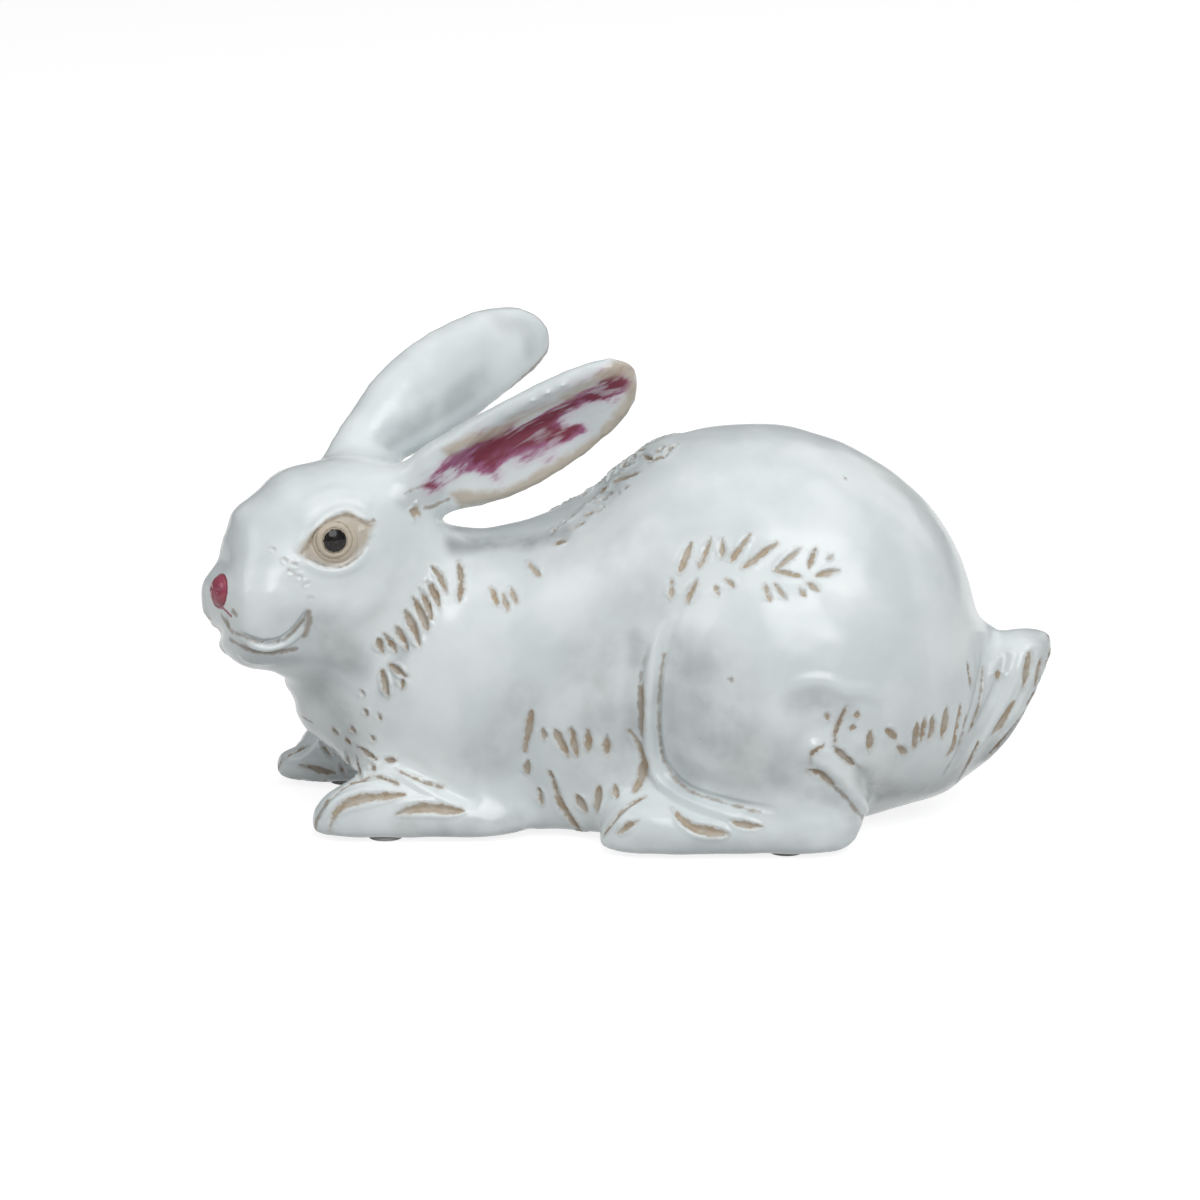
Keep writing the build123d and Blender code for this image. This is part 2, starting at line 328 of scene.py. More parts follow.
# Fine forms in the same units, pressed or raised after the skin has been made finer there
haunch_lines = (
    (
        (
            (676, 612), (662, 634), (653, 660), (650, 695), (649, 730), (652, 764), (664, 786), (690, 803),
            (742, 819),
        ),
        3.3,
        2.4,
    ),
    (((648, 645), (641, 670), (639, 705), (641, 740)), 2.4, -1.2),
    (
        ((674, 634), (663, 660), (658, 700), (659, 742), (668, 768), (690, 789), (735, 803), (778, 810)),
        2.0,
        -1.3,
    ),
    (((806, 742), (822, 750), (838, 764)), 2.6, 1.0),
    (((786, 689), (807, 682), (828, 683), (845, 691), (866, 692), (886, 701)), 4.2, 0.9),
    (((814, 762), (832, 770), (848, 786), (868, 812)), 3.6, 1.2),
    (((856, 765), (868, 782), (880, 800)), 2.4, -1.2),
    (((380, 765), (408, 780), (438, 797), (466, 808)), 2.6, 1.1),
    (((393, 806), (415, 800), (440, 800)), 2.0, 0.7),
    (((322, 822), (330, 806), (346, 794), (372, 788)), 1.8, 0.7),
)
tail_lines = (
    (((1008, 652), (995, 690), (975, 728), (950, 768)), 2.6, -0.9),
    (((1024, 648), (1012, 688), (990, 728), (962, 772)), 2.4, 0.8),
    (((1036, 646), (1024, 690), (1000, 736)), 2.2, -0.8),
)
face_lines = (
    (((296, 553), (307, 534), (325, 516), (345, 508), (362, 513), (379, 523)), 2.1, 0.65),
    (((303, 554), (313, 537), (329, 521), (345, 515), (359, 520), (371, 525)), 1.1, -0.7),
    (((302, 561), (318, 571), (340, 573), (359, 564), (373, 546)), 2.2, 0.45),
    (((306, 557), (320, 565), (339, 566), (355, 557), (366, 543)), 1.1, -0.6),
    (((239, 634), (262, 643), (284, 639), (300, 624), (309, 609)), 1.9, -2.1),
    (((246, 644), (258, 648), (272, 648), (290, 641), (304, 628)), 2.2, 1.2),
    (((240, 644), (252, 650), (268, 653), (293, 650)), 1.5, -1.0),
    (((238, 655), (256, 662), (276, 661)), 4.0, 0.7),
    (((360, 527), (367, 531), (371, 538)), 2.2, 0.8),
)
philtrum = (
    (((225, 612), (229, 629)), 1.3, -0.8),
)

# Outline of the clay as it should be seen: a picture point, where it goes, and how far the pull reaches
outline_pins = (
    ((285, 478), (280, 474), 22),
    ((244, 513), (235, 510), 14),
    ((214, 562), (221, 563), 12),
    ((208, 632), (218, 633), 9),
    ((265, 673), (265, 670), 14),
    ((297, 680), (283, 680), 11),
    ((306, 716), (299, 717), 13),
    ((294, 737), (300, 744), 12),
    ((452, 517), (441, 517), 10),
    ((650, 440), (648, 435), 14),
    ((600, 497), (603, 500), 14),
    ((866, 843), (858, 837), 13),
    ((985, 632), (990, 626), 10),
)

# Colour areas: closed rings of picture points
ear_crimson = (
    (
        (427, 486), (441, 463), (469, 443), (484, 433), (504, 429), (530, 419), (557, 402), (583, 387),
        (604, 377), (632, 366), (628, 386), (606, 402), (580, 414), (563, 424), (577, 422), (586, 433),
        (570, 444), (550, 455), (527, 462), (505, 465), (498, 481), (481, 478), (467, 466), (448, 474),
        (432, 490),
    ),
)
ear_beige = (
    (
        (443, 450), (479, 433), (519, 417), (555, 402), (581, 387), (612, 362), (630, 361), (638, 374),
        (634, 384), (624, 374), (600, 380), (568, 398), (530, 416), (504, 431), (463, 447), (448, 456),
    ),
    (
        (634, 374), (641, 386), (629, 421), (605, 451), (576, 469), (553, 483), (520, 496), (500, 503),
        (462, 507), (452, 494), (466, 491), (500, 491), (520, 483), (548, 467), (570, 454), (597, 436),
        (620, 407),
    ),
)
eye_beige = (
    (
        (300, 553), (311, 536), (328, 520), (345, 513), (360, 520), (372, 524), (366, 544), (354, 558),
        (340, 566), (326, 566), (312, 560),
    ),
)

# Lines of colour, such as where the glaze has run thin and brown, with half their width in millimetres
head_brown = (
    (((303, 553), (313, 537), (329, 521), (345, 515), (359, 520), (371, 525)), 0.5),
    (((232, 630), (241, 635), (262, 643), (284, 639), (300, 624), (308, 611)), 0.45),
    (((309, 612), (309, 622), (304, 635)), 1.0),
    (((230, 639), (246, 648), (266, 652), (295, 649)), 0.9),
    (((306, 556), (320, 564), (340, 567), (358, 557), (368, 544)), 0.1),
    (((360, 520), (366, 524), (374, 520)), 0.6),
)
body_brown = (
    (((664, 655), (659, 695), (660, 740), (668, 768), (688, 790), (735, 806), (760, 812)), 0.4),
    (((645, 655), (641, 675), (639, 690)), 0.2),
    (((640, 688), (641, 712), (642, 734)), 0.9),
    (((833, 785), (847, 799), (862, 817)), 0.6),
    (((1048, 636), (1052, 643), (1046, 662)), 0.7),
    (((327, 803), (316, 822), (319, 836), (343, 840)), 0.9),
    (((312, 722), (300, 716)), 0.2),
    (((730, 678), (732, 681)), 0.5),
    (((845, 476), (846, 479)), 0.4),
    (((700, 739), (702, 741)), 0.1),
)
philtrum_brown = (
    (((222, 616), (227, 624), (232, 631)), 0.8),
    (((233, 612), (236, 615)), 0.9),
)
nose_red = (
    (((221, 587), (226, 593), (222, 603)), 2.1),
)
philtrum_red = (
    (((221, 606), (226, 611), (231, 616)), 0.5),
)
ear_brown = (
    (((463, 313), (486, 305), (509, 302), (534, 310), (549, 329), (548, 349), (532, 369), (512, 387)), 0.9),
    (((404, 494), (414, 489), (427, 484)), 0.2),
    (((425, 508), (436, 505), (448, 499)), 0.6),
)
# Painted shade: darker lines where shade falls, at the muzzle's edge, at the root of the near ear and in the
# valley between the ears
painted_shade_runs = (
    (((203, 590), (206, 612), (212, 627)), 2.0),
    (((405, 500), (420, 498), (436, 494)), 3.5),
    (((388, 446), (412, 432), (440, 416), (470, 396)), 1.6),
)

# Painted shade: parts where the glaze is darkened because shade falls there, under the body, in hollows, at
# the nape, on the thigh, on the jaw and at the far ear: runs of picture points, half width in millimetres,
# and strength
body_shades = (
    (((702, 680), (712, 715), (732, 745), (765, 768)), 24.0, 0.36),
    (((585, 545), (625, 565), (640, 600)), 24.0, 0.15),
    (((674, 650), (667, 700), (669, 745), (686, 778)), 10.0, 0.3),
    (((792, 704), (815, 702), (845, 712)), 7.0, 0.35),
    (((636, 640), (632, 690), (630, 740)), 8.0, 0.35),
    (((600, 660), (598, 705), (600, 760)), 20.0, 0.28),
    (((325, 685), (342, 715), (350, 745)), 14.0, 0.35),
    (((405, 826), (450, 829), (520, 826)), 8.0, 0.35),
    (((640, 845), (720, 846), (800, 846)), 6.0, 0.25),
    (((862, 776), (890, 792), (930, 790), (968, 765)), 9.0, 0.5),
    (((812, 792), (838, 800), (852, 816)), 5.0, 0.3),
    (((455, 546), (482, 544), (508, 541), (535, 541), (562, 534)), 7.5, 0.6),
    (((575, 528), (610, 492), (655, 445)), 5.0, 0.35),
    (((386, 692), (399, 662), (421, 626)), 5.0, 0.3),
    (((470, 760), (500, 745), (520, 700)), 14.0, 0.25),
    (((1002, 655), (985, 700), (955, 765)), 6.0, 0.25),
    (((1012, 728), (985, 755), (945, 785)), 6.0, 0.5),
    (((1038, 636), (1048, 644), (1042, 656)), 7.0, 0.6),
)
head_shades = (
    (((318, 628), (335, 646), (352, 662)), 11.0, 0.4),
    (((240, 662), (262, 662), (290, 662)), 6.0, 0.3),
)
ear_shades = (
    (((385, 440), (415, 424), (447, 405), (485, 378)), 8.0, 0.28),
    (((500, 322), (525, 330), (530, 350)), 6.0, 0.2),
)

# Which tables are laid, the plane that mirrors each, and the tool or the tint, in the order of the work
broad_forms = ((trunk_forms, "body"), (foreleg_forms, "far paw"), (brow_forms, "head"), (ear_forms, None))
fine_forms = ((haunch_lines + tail_lines, "body"), (face_lines, "head"), (philtrum, None))
fur = (
    (spine_tufts + spine_ticks, "body", rope_gouge),
    (shoulder_tufts, "body", flank_gouge),
    (ruff_tufts, "body", ruff_gouge),
    (flank_tufts, "body", flank_gouge),
    (belly_tufts + hind_foot_tufts, "body", fur_gouge),
    (belly_sweeps + hind_foot_sweeps, "body", wide_gouge),
    (rump_tufts + tail_tufts, "body", fur_gouge),
    (rump_lines + hind_foot_lines, "body", thin_gouge),
    (rump_hook + tail_root, "body", dark_gouge),
    (tail_sweeps, "body", wide_gouge),
    (near_paw_tufts, "far paw", wide_gouge),
    (near_paw_creases, "far paw", thin_gouge),
    (far_paw_tufts, "near paw", dark_gouge),
    (far_paw_lines, "near paw", thin_gouge),
    (chest_tufts + chest_ticks, "body", fine_gouge),
    (ear_spot, "body", wide_gouge),
    (whisker_pits, "head", point),
)
tint_lines = (
    ("brown", head_brown, "head"),
    ("brown", body_brown, "body"),
    ("brown", ear_brown + philtrum_brown, None),
    ("red", philtrum_red, None),
    ("red", nose_red, "head"),
    ("grey", painted_shade_runs, None),
)
shades = ((body_shades, "body"), (head_shades, "head"), (ear_shades, None))

# Smoothing: what counts as a hollow, a seam and a thin edge, how strongly each yields, and the passes
hollow_band, seam_band, thin_band = (0.02, 0.12), (0.1, 0.6), (0.05, 0.15)
even_pull, blend_gain, least_blend, thin_hold = 0.5, 1.6, 0.02, 0.3
seam_spread, edge_spread, speck_rounds = 4, 2, 3
seam_passes, skin_passes, fine_passes, ear_passes = 45, 10, 8, 24
# The voxels are wider than the grain by this, because the skin is then subdivided once
voxel_grains = 2

# Height and size of the unevenness that fingers leave
thumb_marks = ((0.4, 15), (0.18, 7))

# Marks of less half width than this get a finer skin on the torso, out to a share of it and a margin
widest_fine_mark = 2.3
fine_share, fine_margin = 1.2, 0.6

# Colour areas: the band round a line, the margin round a ring in picture points, depth and facing
tint_reach, ring_margin, stain_depth = 2.5, 20, 50
same_side, turned_away = 0.1, 0.1
scoop_share, scoop_facing = 1.15, 0.05

# Sockets of the pellets: depth, the edge in shares of the pellet, and the red ring round the nose
socket_depth, socket_edge, nose_red_share = 1.0, (0.86, 0.99), 1.1

# The eye: its pupil, its rings with distance, width and height, and its stains with a strength instead
pupil_radius, pupil_height, pupil_forward, pupil_up = 4.1, 0.55, 1.3, 1.2
eye_rings = ((5.5, 0.45, 0.18), (4.5, 0.3, -0.3), (6.5, 0.35, -0.22))
eye_stains = ((4.45, 0.4, 0.75), (6.5, 0.4, 0.6))

# The nose: its nostrils and the cleft between them
nostril_side, nostril_up, nostril_width, nostril_depth = 2.4, 0.4, 0.9, 0.6
cleft_width, cleft_depth, cleft_top = 0.5, 0.35, 1

# Noise in the finishes: scale per metre, detail, roughness, its band, and what the band is spread to
mottles = {
    "cloud": (38, 3, 0.5, 0.35, 0.65),
    "shade": (75, 4, 0.6, 0.3, 0.7, 0.55, 1.35),
    "ragged": (700, 2, 0.5, 0.2, 0.8, -1.0, 1.0),
    "streak": (190, 4, 0.55, 0.25, 0.75, -2.9, 3.3),
    "patch": (110, 4, 0.5, 0.3, 0.7, -3.4, 2.4),
    "runs": (330, 3, 0.5, 0.52, 0.68, 1.0, 0.45),
    "soft": (160, 3, 0.5, 0.25, 0.75, -0.8, 0.8),
    "wobble": (330, 2, 0.5, 0.3, 0.7, -0.4, 0.3),
    "veil": (120, 3, 0.5, 0.35, 0.7, 0.15, -0.45),
    "rim": (350, 3, 0.5, 0.3, 0.7),
    "thin": (240, 3, 0.5, 0.35, 0.65, 0.62, 0.95),
    "eye edge": (900, 3, 0.5, 0.2, 0.8, -0.22, 0.22),
    "ink": (1500, 2, 0.5, 0.45, 0.75),
    "nose": (420, 3, 0.5, 0.3, 0.7),
}
brush_lean = radians(32)

# Where each colour comes in, from none to full in millimetres inside its tint, and its strength or ends
bands = {
    "grey": (-2.0, 2.0, 0.3),
    "lilac": (-3.2, 0.8, 0.45),
    "crimson": (0.0, 3.6),
    "ear red": (-0.9, 2.0),
    "nose": (-0.3, 0.2),
    "beige": (-2.0, 1.4, 0.85),
    "brown": (-0.8, 0.5, 0.7),
    "stain": (-1.6, 0.1, 0.4),
    "rim": (0.05, 0.75, 1.0, 0.0),
    "clay": (-0.3, 0.3),
    "pupil": (pupil_radius - 0.1, pupil_radius + 0.15, 1.0, 0.0),
    "nostril": (0.2, 1.3, 0.6, 0.0),
}
red_raggedness, bare_raggedness = 0.12, 0.25
rim_strength, dark_strength, nose_cloud = 0.7, 0.85, 0.25
drawn_stretch, run_stretch = 0.3, 0.16

# Roughness of each surface, and scale per metre and height in metres of its finest grain
gloss = {"glaze": 0.22, "clay": 0.5, "eye": 0.28, "pupil": 0.14, "nose": 0.2, "disc": 0.75, "felt": 0.95}
grain_scale = {"glaze": 260, "clay": 2200, "eye": 900, "nose": 700}
glaze_grain, pellet_grain, disc_grain, felt_grain = 0.00004, 0.00003, 0.00012, 0.0003
disc_mottle, felt_mottle, eye_mottle, grain_ratio = 220, 700, 300, 6

# Small sizes in metres: points that count as one, play of the stopper, tuck of the lids, roundings
weld, stopper_inset, seam_tuck = 0.001 * MM, MM, 0.0012
disc_rounding, pad_rounding, pad_pinhole = 0.4 * MM, 0.25 * MM, 0.05 * MM
# Edges that turn by more than this, in radians, are rounded
sharp_turn = 1

# Lamps: place in metres, side, and share of the key light's power
lamps = (
    ("top_light", (0.3, -0.5, 2.1), 2.0, 0.5),
    ("key_light", (0.7, -1.8, 1.5), 1.4, 1.0),
    ("side_light", (-1.6, -0.8, 1.4), 1.2, 0.32),
    ("back_light", (1.2, 1.5, 1.5), 1.6, 0.25),
)
white_light = (1, 1, 1, 1)

# A step along a run in picture points, a gap past any on the figure, and a length short of any
run_step, far_off, hair = 6, 1e9, 1e-9


def sight(u, v):
    """The direction from the stand point through a picture point."""
    across, down = u - picture_middle, v - picture_middle
    return (view_ahead * focal_pixels + view_right * across - view_up * down).normalized()


def picture_points(places):
    """Where places of the figure are seen in the picture."""
    away = places * MM - stand_point
    across, up, depth = away @ np.array(view_right), away @ np.array(view_up), away @ ahead
    seen = (picture_middle + focal_pixels * across / depth, picture_middle - focal_pixels * up / depth)
    return np.stack(seen, axis=1)


def depth_inside(points, ring):
    """How far points lie inside a closed ring, in the ring's own unit, and below 0 outside."""
    ring = np.array(ring, float)
    gap = np.full(len(points), far_off)
    inside = np.zeros(len(points), bool)
    for start, end in zip(ring, np.roll(ring, -1, axis=0)):
        way = end - start
        share = np.clip((points - start) @ way / (way @ way), 0, 1)
        gap = np.minimum(gap, np.linalg.norm(points - start - share[:, None] * way, axis=1))
        crosses = (start[1] > points[:, 1]) != (end[1] > points[:, 1])
        if crosses.any():
            at = start[0] + way[0] * (points[:, 1] - start[1]) / (way[1] if way[1] else hair)
            inside ^= crosses & (points[:, 0] < at)
    return np.where(inside, gap, -gap)


def rounded_run(points):
    """A run of picture points with a soft curve through all of them, in short steps."""
    ends = [np.array(point, float) for point in (points[0], *points, points[-1])]
    curve = []
    for before, start, end, after in zip(ends, ends[1:], ends[2:], ends[3:]):
        steps = max(2, int(np.abs(end - start).max() / run_step))
        for share in np.arange(steps) / steps:
            bend = (2 * before - 5 * start + 4 * end - after) * share**2
            twist = (3 * start - before - 3 * end + after) * share**3
            curve.append((2 * start + (end - before) * share + bend + twist) / 2)
    return curve + [ends[-1]]


def step(value, low, high):
    """0 below low, 1 above high, and a smooth rise between them."""
    share = np.clip((value - low) / (high - low), 0, 1)
    return share * share * (3 - 2 * share)


def bell(value, middle, width):
    return exp(-(((value - middle) / width) ** 2))


def raise_to(values, found, level):
    """Bring the values of the points found up to a level, and leave the higher ones."""
    values[found] = np.maximum(values[found], level)


def flipped(values, across, middle=0.0):
    """Places, or ways, on the other side of a mirror plane."""
    return values - np.outer((values - middle) @ across * 2, across)


def read(items, key, width=1, kind=np.float32):
    """One property of all items of a mesh as an array, with a row for each that has a width."""
    values = np.empty(len(items) * width, kind)
    items.foreach_get(key, values)
    return values.reshape(-1, width) if width > 1 else values


def write(mesh, name, kind, values, key="value", domain="POINT"):
    """Keep values as an attribute of a mesh."""
    mesh.attributes.new(name, kind, domain).data.foreach_set(key, values.ravel())


def opened(mesh):
    bm = bmesh.new()
    bm.from_mesh(mesh)
    return bm


def closed(bm, mesh):
    bm.to_mesh(mesh)
    bm.free()
    return mesh


def tree_of(*meshes):
    """A search tree over meshes, and the number of the first face of each."""
    bm = bmesh.new()
    firsts = []
    for mesh in meshes:
        firsts.append(len(bm.faces))
        bm.from_mesh(mesh)
    tree = BVHTree.FromBMesh(bm)
    bm.free()
    return tree, np.array(firsts)


def shown(context, name, data):
    """A new object in the scene."""
    made = bpy.data.objects.new(name, data)
    context.scene.collection.objects.link(made)
    return made


def finished_mesh(made):
    """The mesh of an object after its modifiers, with the object itself taken away."""
    graph = bpy.context.evaluated_depsgraph_get()
    seen = made.evaluated_get(graph)
    mesh = bpy.data.meshes.new_from_object(seen, preserve_all_data_layers=True, depsgraph=graph)
    first = made.data
    bpy.data.objects.remove(made)
    bpy.data.meshes.remove(first)
    return mesh


def fused_castings(context, grain):
    """One even closed mesh over all the castings and pellets, with the pour hole stopped."""
    bm = bmesh.new()
    for name in castings + pellets:
        part = opened(nodes[name].data)
        bmesh.ops.remove_doubles(part, verts=part.verts, dist=weld)
        lump = closed(part, bpy.data.meshes.new(name))
        bm.from_mesh(lump)
        bpy.data.meshes.remove(lump)
    low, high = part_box("base_disc")
    middle = (low + high) / 2
    stopper = high.z - low.z
    radius = (high.x - low.x) / 2 - stopper_inset
    place = Matrix.Translation((middle.x, middle.y, high.z + stopper / 2))
    bmesh.ops.create_cone(
        bm, cap_ends=True, segments=48, radius1=radius, radius2=radius, depth=stopper, matrix=place
    )
    lumps = shown(context, "luted_castings", closed(bm, bpy.data.meshes.new("luted_castings")))
    remesh = lumps.modifiers.new("Even skin", "REMESH")
    remesh.mode = "VOXEL"
    remesh.voxel_size = grain
    return finished_mesh(lumps)


def outer_shell(mesh):
    """The mesh without the skin of its cavity."""
    bm = opened(mesh)
    top = max(bm.verts, key=lambda vert: vert.co.z)
    kept, growth = {top}, [top]
    while growth:
        vert = growth.pop()
        for edge in vert.link_edges:
            other = edge.other_vert(vert)
            if other not in kept:
                kept.add(other)
                growth.append(other)
    bmesh.ops.delete(bm, geom=[vert for vert in bm.verts if vert not in kept], context="VERTS")
    return closed(bm, mesh)


def node_middle(name):
    low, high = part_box(name)
    return np.array((low + high) / 2) / MM


def mirror_planes():
    """Mirror planes: a place on each, the way across it, and a shift that follows the mirroring."""
    left, right = node_middle("eye_left"), node_middle("eye_right")
    across = left - right
    feet = (node_middle("hind_foot_left") + node_middle("hind_foot_right")) / 2
    sideways = np.array((0.0, 1.0, 0.0))
    lead = (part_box("foreleg_left")[0].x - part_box("foreleg_right")[0].x) / MM
    stride = np.array((lead, 0.0, 0.0))
    return {
        "body": (feet, sideways, np.zeros(3)),
        "far paw": (feet, sideways, -stride),
        "near paw": (feet, sideways, stride),
        "head": ((left + right) / 2, across / np.linalg.norm(across), np.zeros(3)),
    }


def node_ways(name):
    """A node's middle in millimetres, its main directions, the longest first, and half sizes."""
    mesh = nodes[name].data
    middles = np.array([face.center for face in mesh.polygons]) / MM
    areas = np.array([face.area for face in mesh.polygons])
    middle = np.average(middles, axis=0, weights=areas)
    offset = middles - middle
    ways = np.linalg.eigh((offset * areas[:, None]).T @ offset)[1].T[::-1]
    return middle, ways, np.abs(offset @ ways.T).max(0)


def ear_ways(name):
    """An ear's middle, its long way, its width way and the way that its scoop faces, and half sizes."""
    middle, (long_way, _, facing), sizes = node_ways(name)
    side = -1 if name.endswith("left") else 1
    long_way = long_way * np.sign(long_way[2])
    facing = facing * np.sign(facing[1]) * side
    wide_way = np.cross(long_way, facing) * side
    return middle, np.array((long_way, wide_way, facing)), sizes


def pellet_frame(name):
    """A pellet's middle, its way out of the head, the ways forward and up across it, and half sizes."""
    middle, (_, _, outward), sizes = node_ways(name)
    outward = outward * np.sign(outward @ (middle - node_middle("head")))
    forward = np.cross(np.cross(outward, node_middle("nose") - node_middle("head")), outward)
    if name == "nose":
        forward = np.cross((0.0, 0.0, 1.0), outward)
    forward /= np.linalg.norm(forward)
    upright = np.cross(outward, forward)
    upright *= np.sign(upright[2])
    corners = np.array(nodes[name].bound_box) / MM
    low, high = corners.min(0), corners.max(0)
    return (low + high) / 2, outward, forward, upright, (sizes[0], (high[2] - low[2]) / 2, sizes[2])


class Skin:
    """The figure's surface as arrays in millimetres, while it is smoothed, carved and tinted."""

    def __init__(self, mesh):
        self.mesh = mesh
        count = len(mesh.vertices)
        self.places = read(mesh.vertices, "co", 3, float) / MM
        pairs = read(mesh.edges, "vertices", 2, np.int64)
        both = np.vstack([pairs, pairs[:, ::-1]])
        both = both[np.argsort(both[:, 0], kind="stable")]
        self.beside = both[:, 1]
        self.valence = np.bincount(both[:, 0], minlength=count)
        self.starts = np.concatenate([[0], np.cumsum(self.valence)[:-1]])
        self.tints = {tint: np.full(count, untinted) for tint in tints}
        self.tints |= {cast: np.zeros(count) for cast in casts}
        self.hand = np.random.default_rng(hand_seed)
        self.lifted, self.pressed = np.zeros(count), np.zeros(count)
        self.mirrors = mirror_planes()
        self.settle()

    def settle(self):
        """Write the places back to the mesh, and take its normals and its tree for sight lines."""
        self.mesh.vertices.foreach_set("co", (self.places * MM).astype(np.float32).ravel())
        self.mesh.update()
        self.normals = read(self.mesh.vertex_normals, "vector", 3).astype(float)
        self.tree = tree_of(self.mesh)[0]

    def around(self, values):
        """The mean of a value over each point's neighbours."""
        total = np.add.reduceat(values[self.beside], self.starts, axis=0)
        return total / (self.valence[:, None] if values.ndim > 1 else self.valence)

    def smooth(self, weight, times):
        for _ in range(times):
            self.places += (self.around(self.places) - self.places) * weight[:, None]

    def spread(self, values, times):
        for _ in range(times):
            values = (values + self.around(values)) / 2
        return values

    def on_castings(self, *names):
        """1 at the points that only faces of these castings touch, and 0 at all others."""
        labels = read(self.mesh.attributes["casting"].data, "value", kind=np.int32)
        sides = read(self.mesh.polygons, "loop_total", kind=np.int64)
        corners = read(self.mesh.loops, "vertex_index", kind=np.int64)
        away = ~np.isin(labels, [castings.index(name) for name in names])
        inside = np.ones(len(self.places))
        inside[corners[np.repeat(away, sides)]] = 0
        return inside

    def spot(self, u, v):
        """The place and normal on the skin behind a picture point, or else nearest to its sight line."""
        direction = sight(u, v)
        hit, normal, _, _ = self.tree.ray_cast(view_place, direction)
        if hit is None:
            away = self.places * MM - stand_point
            miss = away - np.outer(away @ np.array(direction), direction)
            nearest = int(np.argmin(np.linalg.norm(miss, axis=1)))
            return self.places[nearest], self.normals[nearest]
        return np.array(hit) / MM, np.array(normal)

    def run(self, points):
        """A line on the skin behind a run of picture points, and its mean normal."""
        spots = [self.spot(u, v) for u, v in rounded_run(points)]
        line = np.array([place for place, _ in spots])
        facing = np.array([normal for _, normal in spots]).mean(0)
        return line, facing / np.linalg.norm(facing)

    def mirrored(self, line, facing, plane):
        """The same line on the other side of a mirror plane, laid on the skin."""
        middle, across, shift = self.mirrors[plane]
        turned = flipped(line, across, middle) + shift
        laid = [self.tree.find_nearest(Vector(place) * MM)[0] for place in turned]
        return np.array(laid) / MM, facing - across * (2 * (facing @ across))

    def lay(self, runs, plane, *tool):
        """Lines on the skin under runs of picture points, and their mirror images, each with its tool."""
        marks = []
        for points in runs:
            line, facing = self.run(points)
            marks.append((line, facing, *tool))
            if plane:
                marks.append((*self.mirrored(line, facing, plane), *tool))
        return marks

    def lay_forms(self, *groups):
        """The same for tables of forms, each with its mirror plane, whose rows name their own tool."""
        marks = []
        for table, plane in groups:
            for points, *tool in table:
                marks += self.lay((points,), plane, *tool)
        return marks

    def near(self, line, facing, reach):
        """Points of the skin within reach of a line: their numbers, distances and places along it."""
        inside = (self.places > line.min(0) - reach) & (self.places < line.max(0) + reach)
        found = np.nonzero(inside.all(1) & (self.normals @ facing > same_side))[0]
        spots = self.places[found]
        distance, along = np.full(len(found), far_off), np.zeros(len(found))
        for k, (start, end) in enumerate(zip(line[:-1], line[1:])):
            way = end - start
            share = np.clip((spots - start) @ way / max(way @ way, hair), 0, 1)
            gap = np.linalg.norm(spots - start - share[:, None] * way, axis=1)
            closer = gap < distance
            distance[closer] = gap[closer]
            along[closer] = (k + share[closer]) / (len(line) - 1)
        close = distance < reach
        return found[close], distance[close], along[close]

    def cut(self, line, facing, half_width, depth, bare, lip, dark):
        """Carve a tapered groove with raised lips by an uneven hand, and bare the clay along it."""
        half_width *= self.hand.uniform(*width_wander)
        skew = self.hand.uniform(*taper_wander)
        found, distance, along = self.near(line, facing, half_width * cut_reach + cut_margin)
        taper = np.clip(1 - np.abs(2 * along**skew - 1) ** cut_taper, 0, 1)
        width = half_width * (end_width + (1 - end_width) * taper)
        fullness = end_depth + (1 - end_depth) * taper
        share = distance / width
        groove = np.clip(1 - share**2, 0, 1) ** 2
        lips = np.exp(-((share - lip_place) ** 2) * lip_sharpness)
        raise_to(self.pressed, found, depth * groove * fullness)
        raise_to(self.lifted, found, lip * lips * fullness)
        raise_to(self.tints["bare"], found, width * bare - distance)
        raise_to(self.tints["dark"], found, dark * (share < dark_reach))

    def form(self, line, facing, half_width, height):
        """Raise or press a soft ridge along a line, thinner at its ends."""
        found, distance, along = self.near(line, facing, half_width)
        taper = np.clip(1 - np.abs(2 * along - 1) ** form_taper, 0, 1)
        amount = abs(height) * taper * np.clip(1 - (distance / half_width) ** 2, 0, 1) ** 2
        raise_to(self.lifted if height > 0 else self.pressed, found, amount)

    def line_tint(self, tint, line, facing, half_width):
        """Tint a band along a line."""
        found, distance, _ = self.near(line, facing, half_width + tint_reach)
        raise_to(self.tints[tint], found, half_width - distance)

    def shade(self, line, facing, half_width, strength):
        """Paint shade along a line, where the glaze is darkened."""
        found, distance, _ = self.near(line, facing, half_width)
        raise_to(self.tints["shade"], found, strength * (1 - (distance / half_width) ** 2) ** 2)

    def socket(self, name):
        """Press the skin in under a pellet, so that the pellet stands free of it."""
        middle, outward, across, upright, half_sizes = pellet_frame(name)
        offset = self.places - middle
        share = np.hypot(offset @ across / half_sizes[0], offset @ upright / half_sizes[1])
        on_top = offset @ outward > -2 * half_sizes[2]
        depth = socket_depth * (1 - step(share, *socket_edge))
        raise_to(self.pressed, np.nonzero(on_top)[0], depth[on_top])
        if name == "nose":
            self.tints["red"][on_top] = ((nose_red_share - share) * half_sizes[1])[on_top]

    def thumbed(self, height, size):
        """Leave the slight unevenness of a hand-modelled surface."""
        waves = np.array([noise.noise(Vector(place) / size) for place in self.places])
        self.places += self.normals * (height * waves)[:, None]

    def raise_skin(self):
        """Move the skin by what was lifted and pressed since the last time."""
        self.places += self.normals * (self.lifted - self.pressed)[:, None]
        self.lifted[:] = self.pressed[:] = 0
        self.settle()

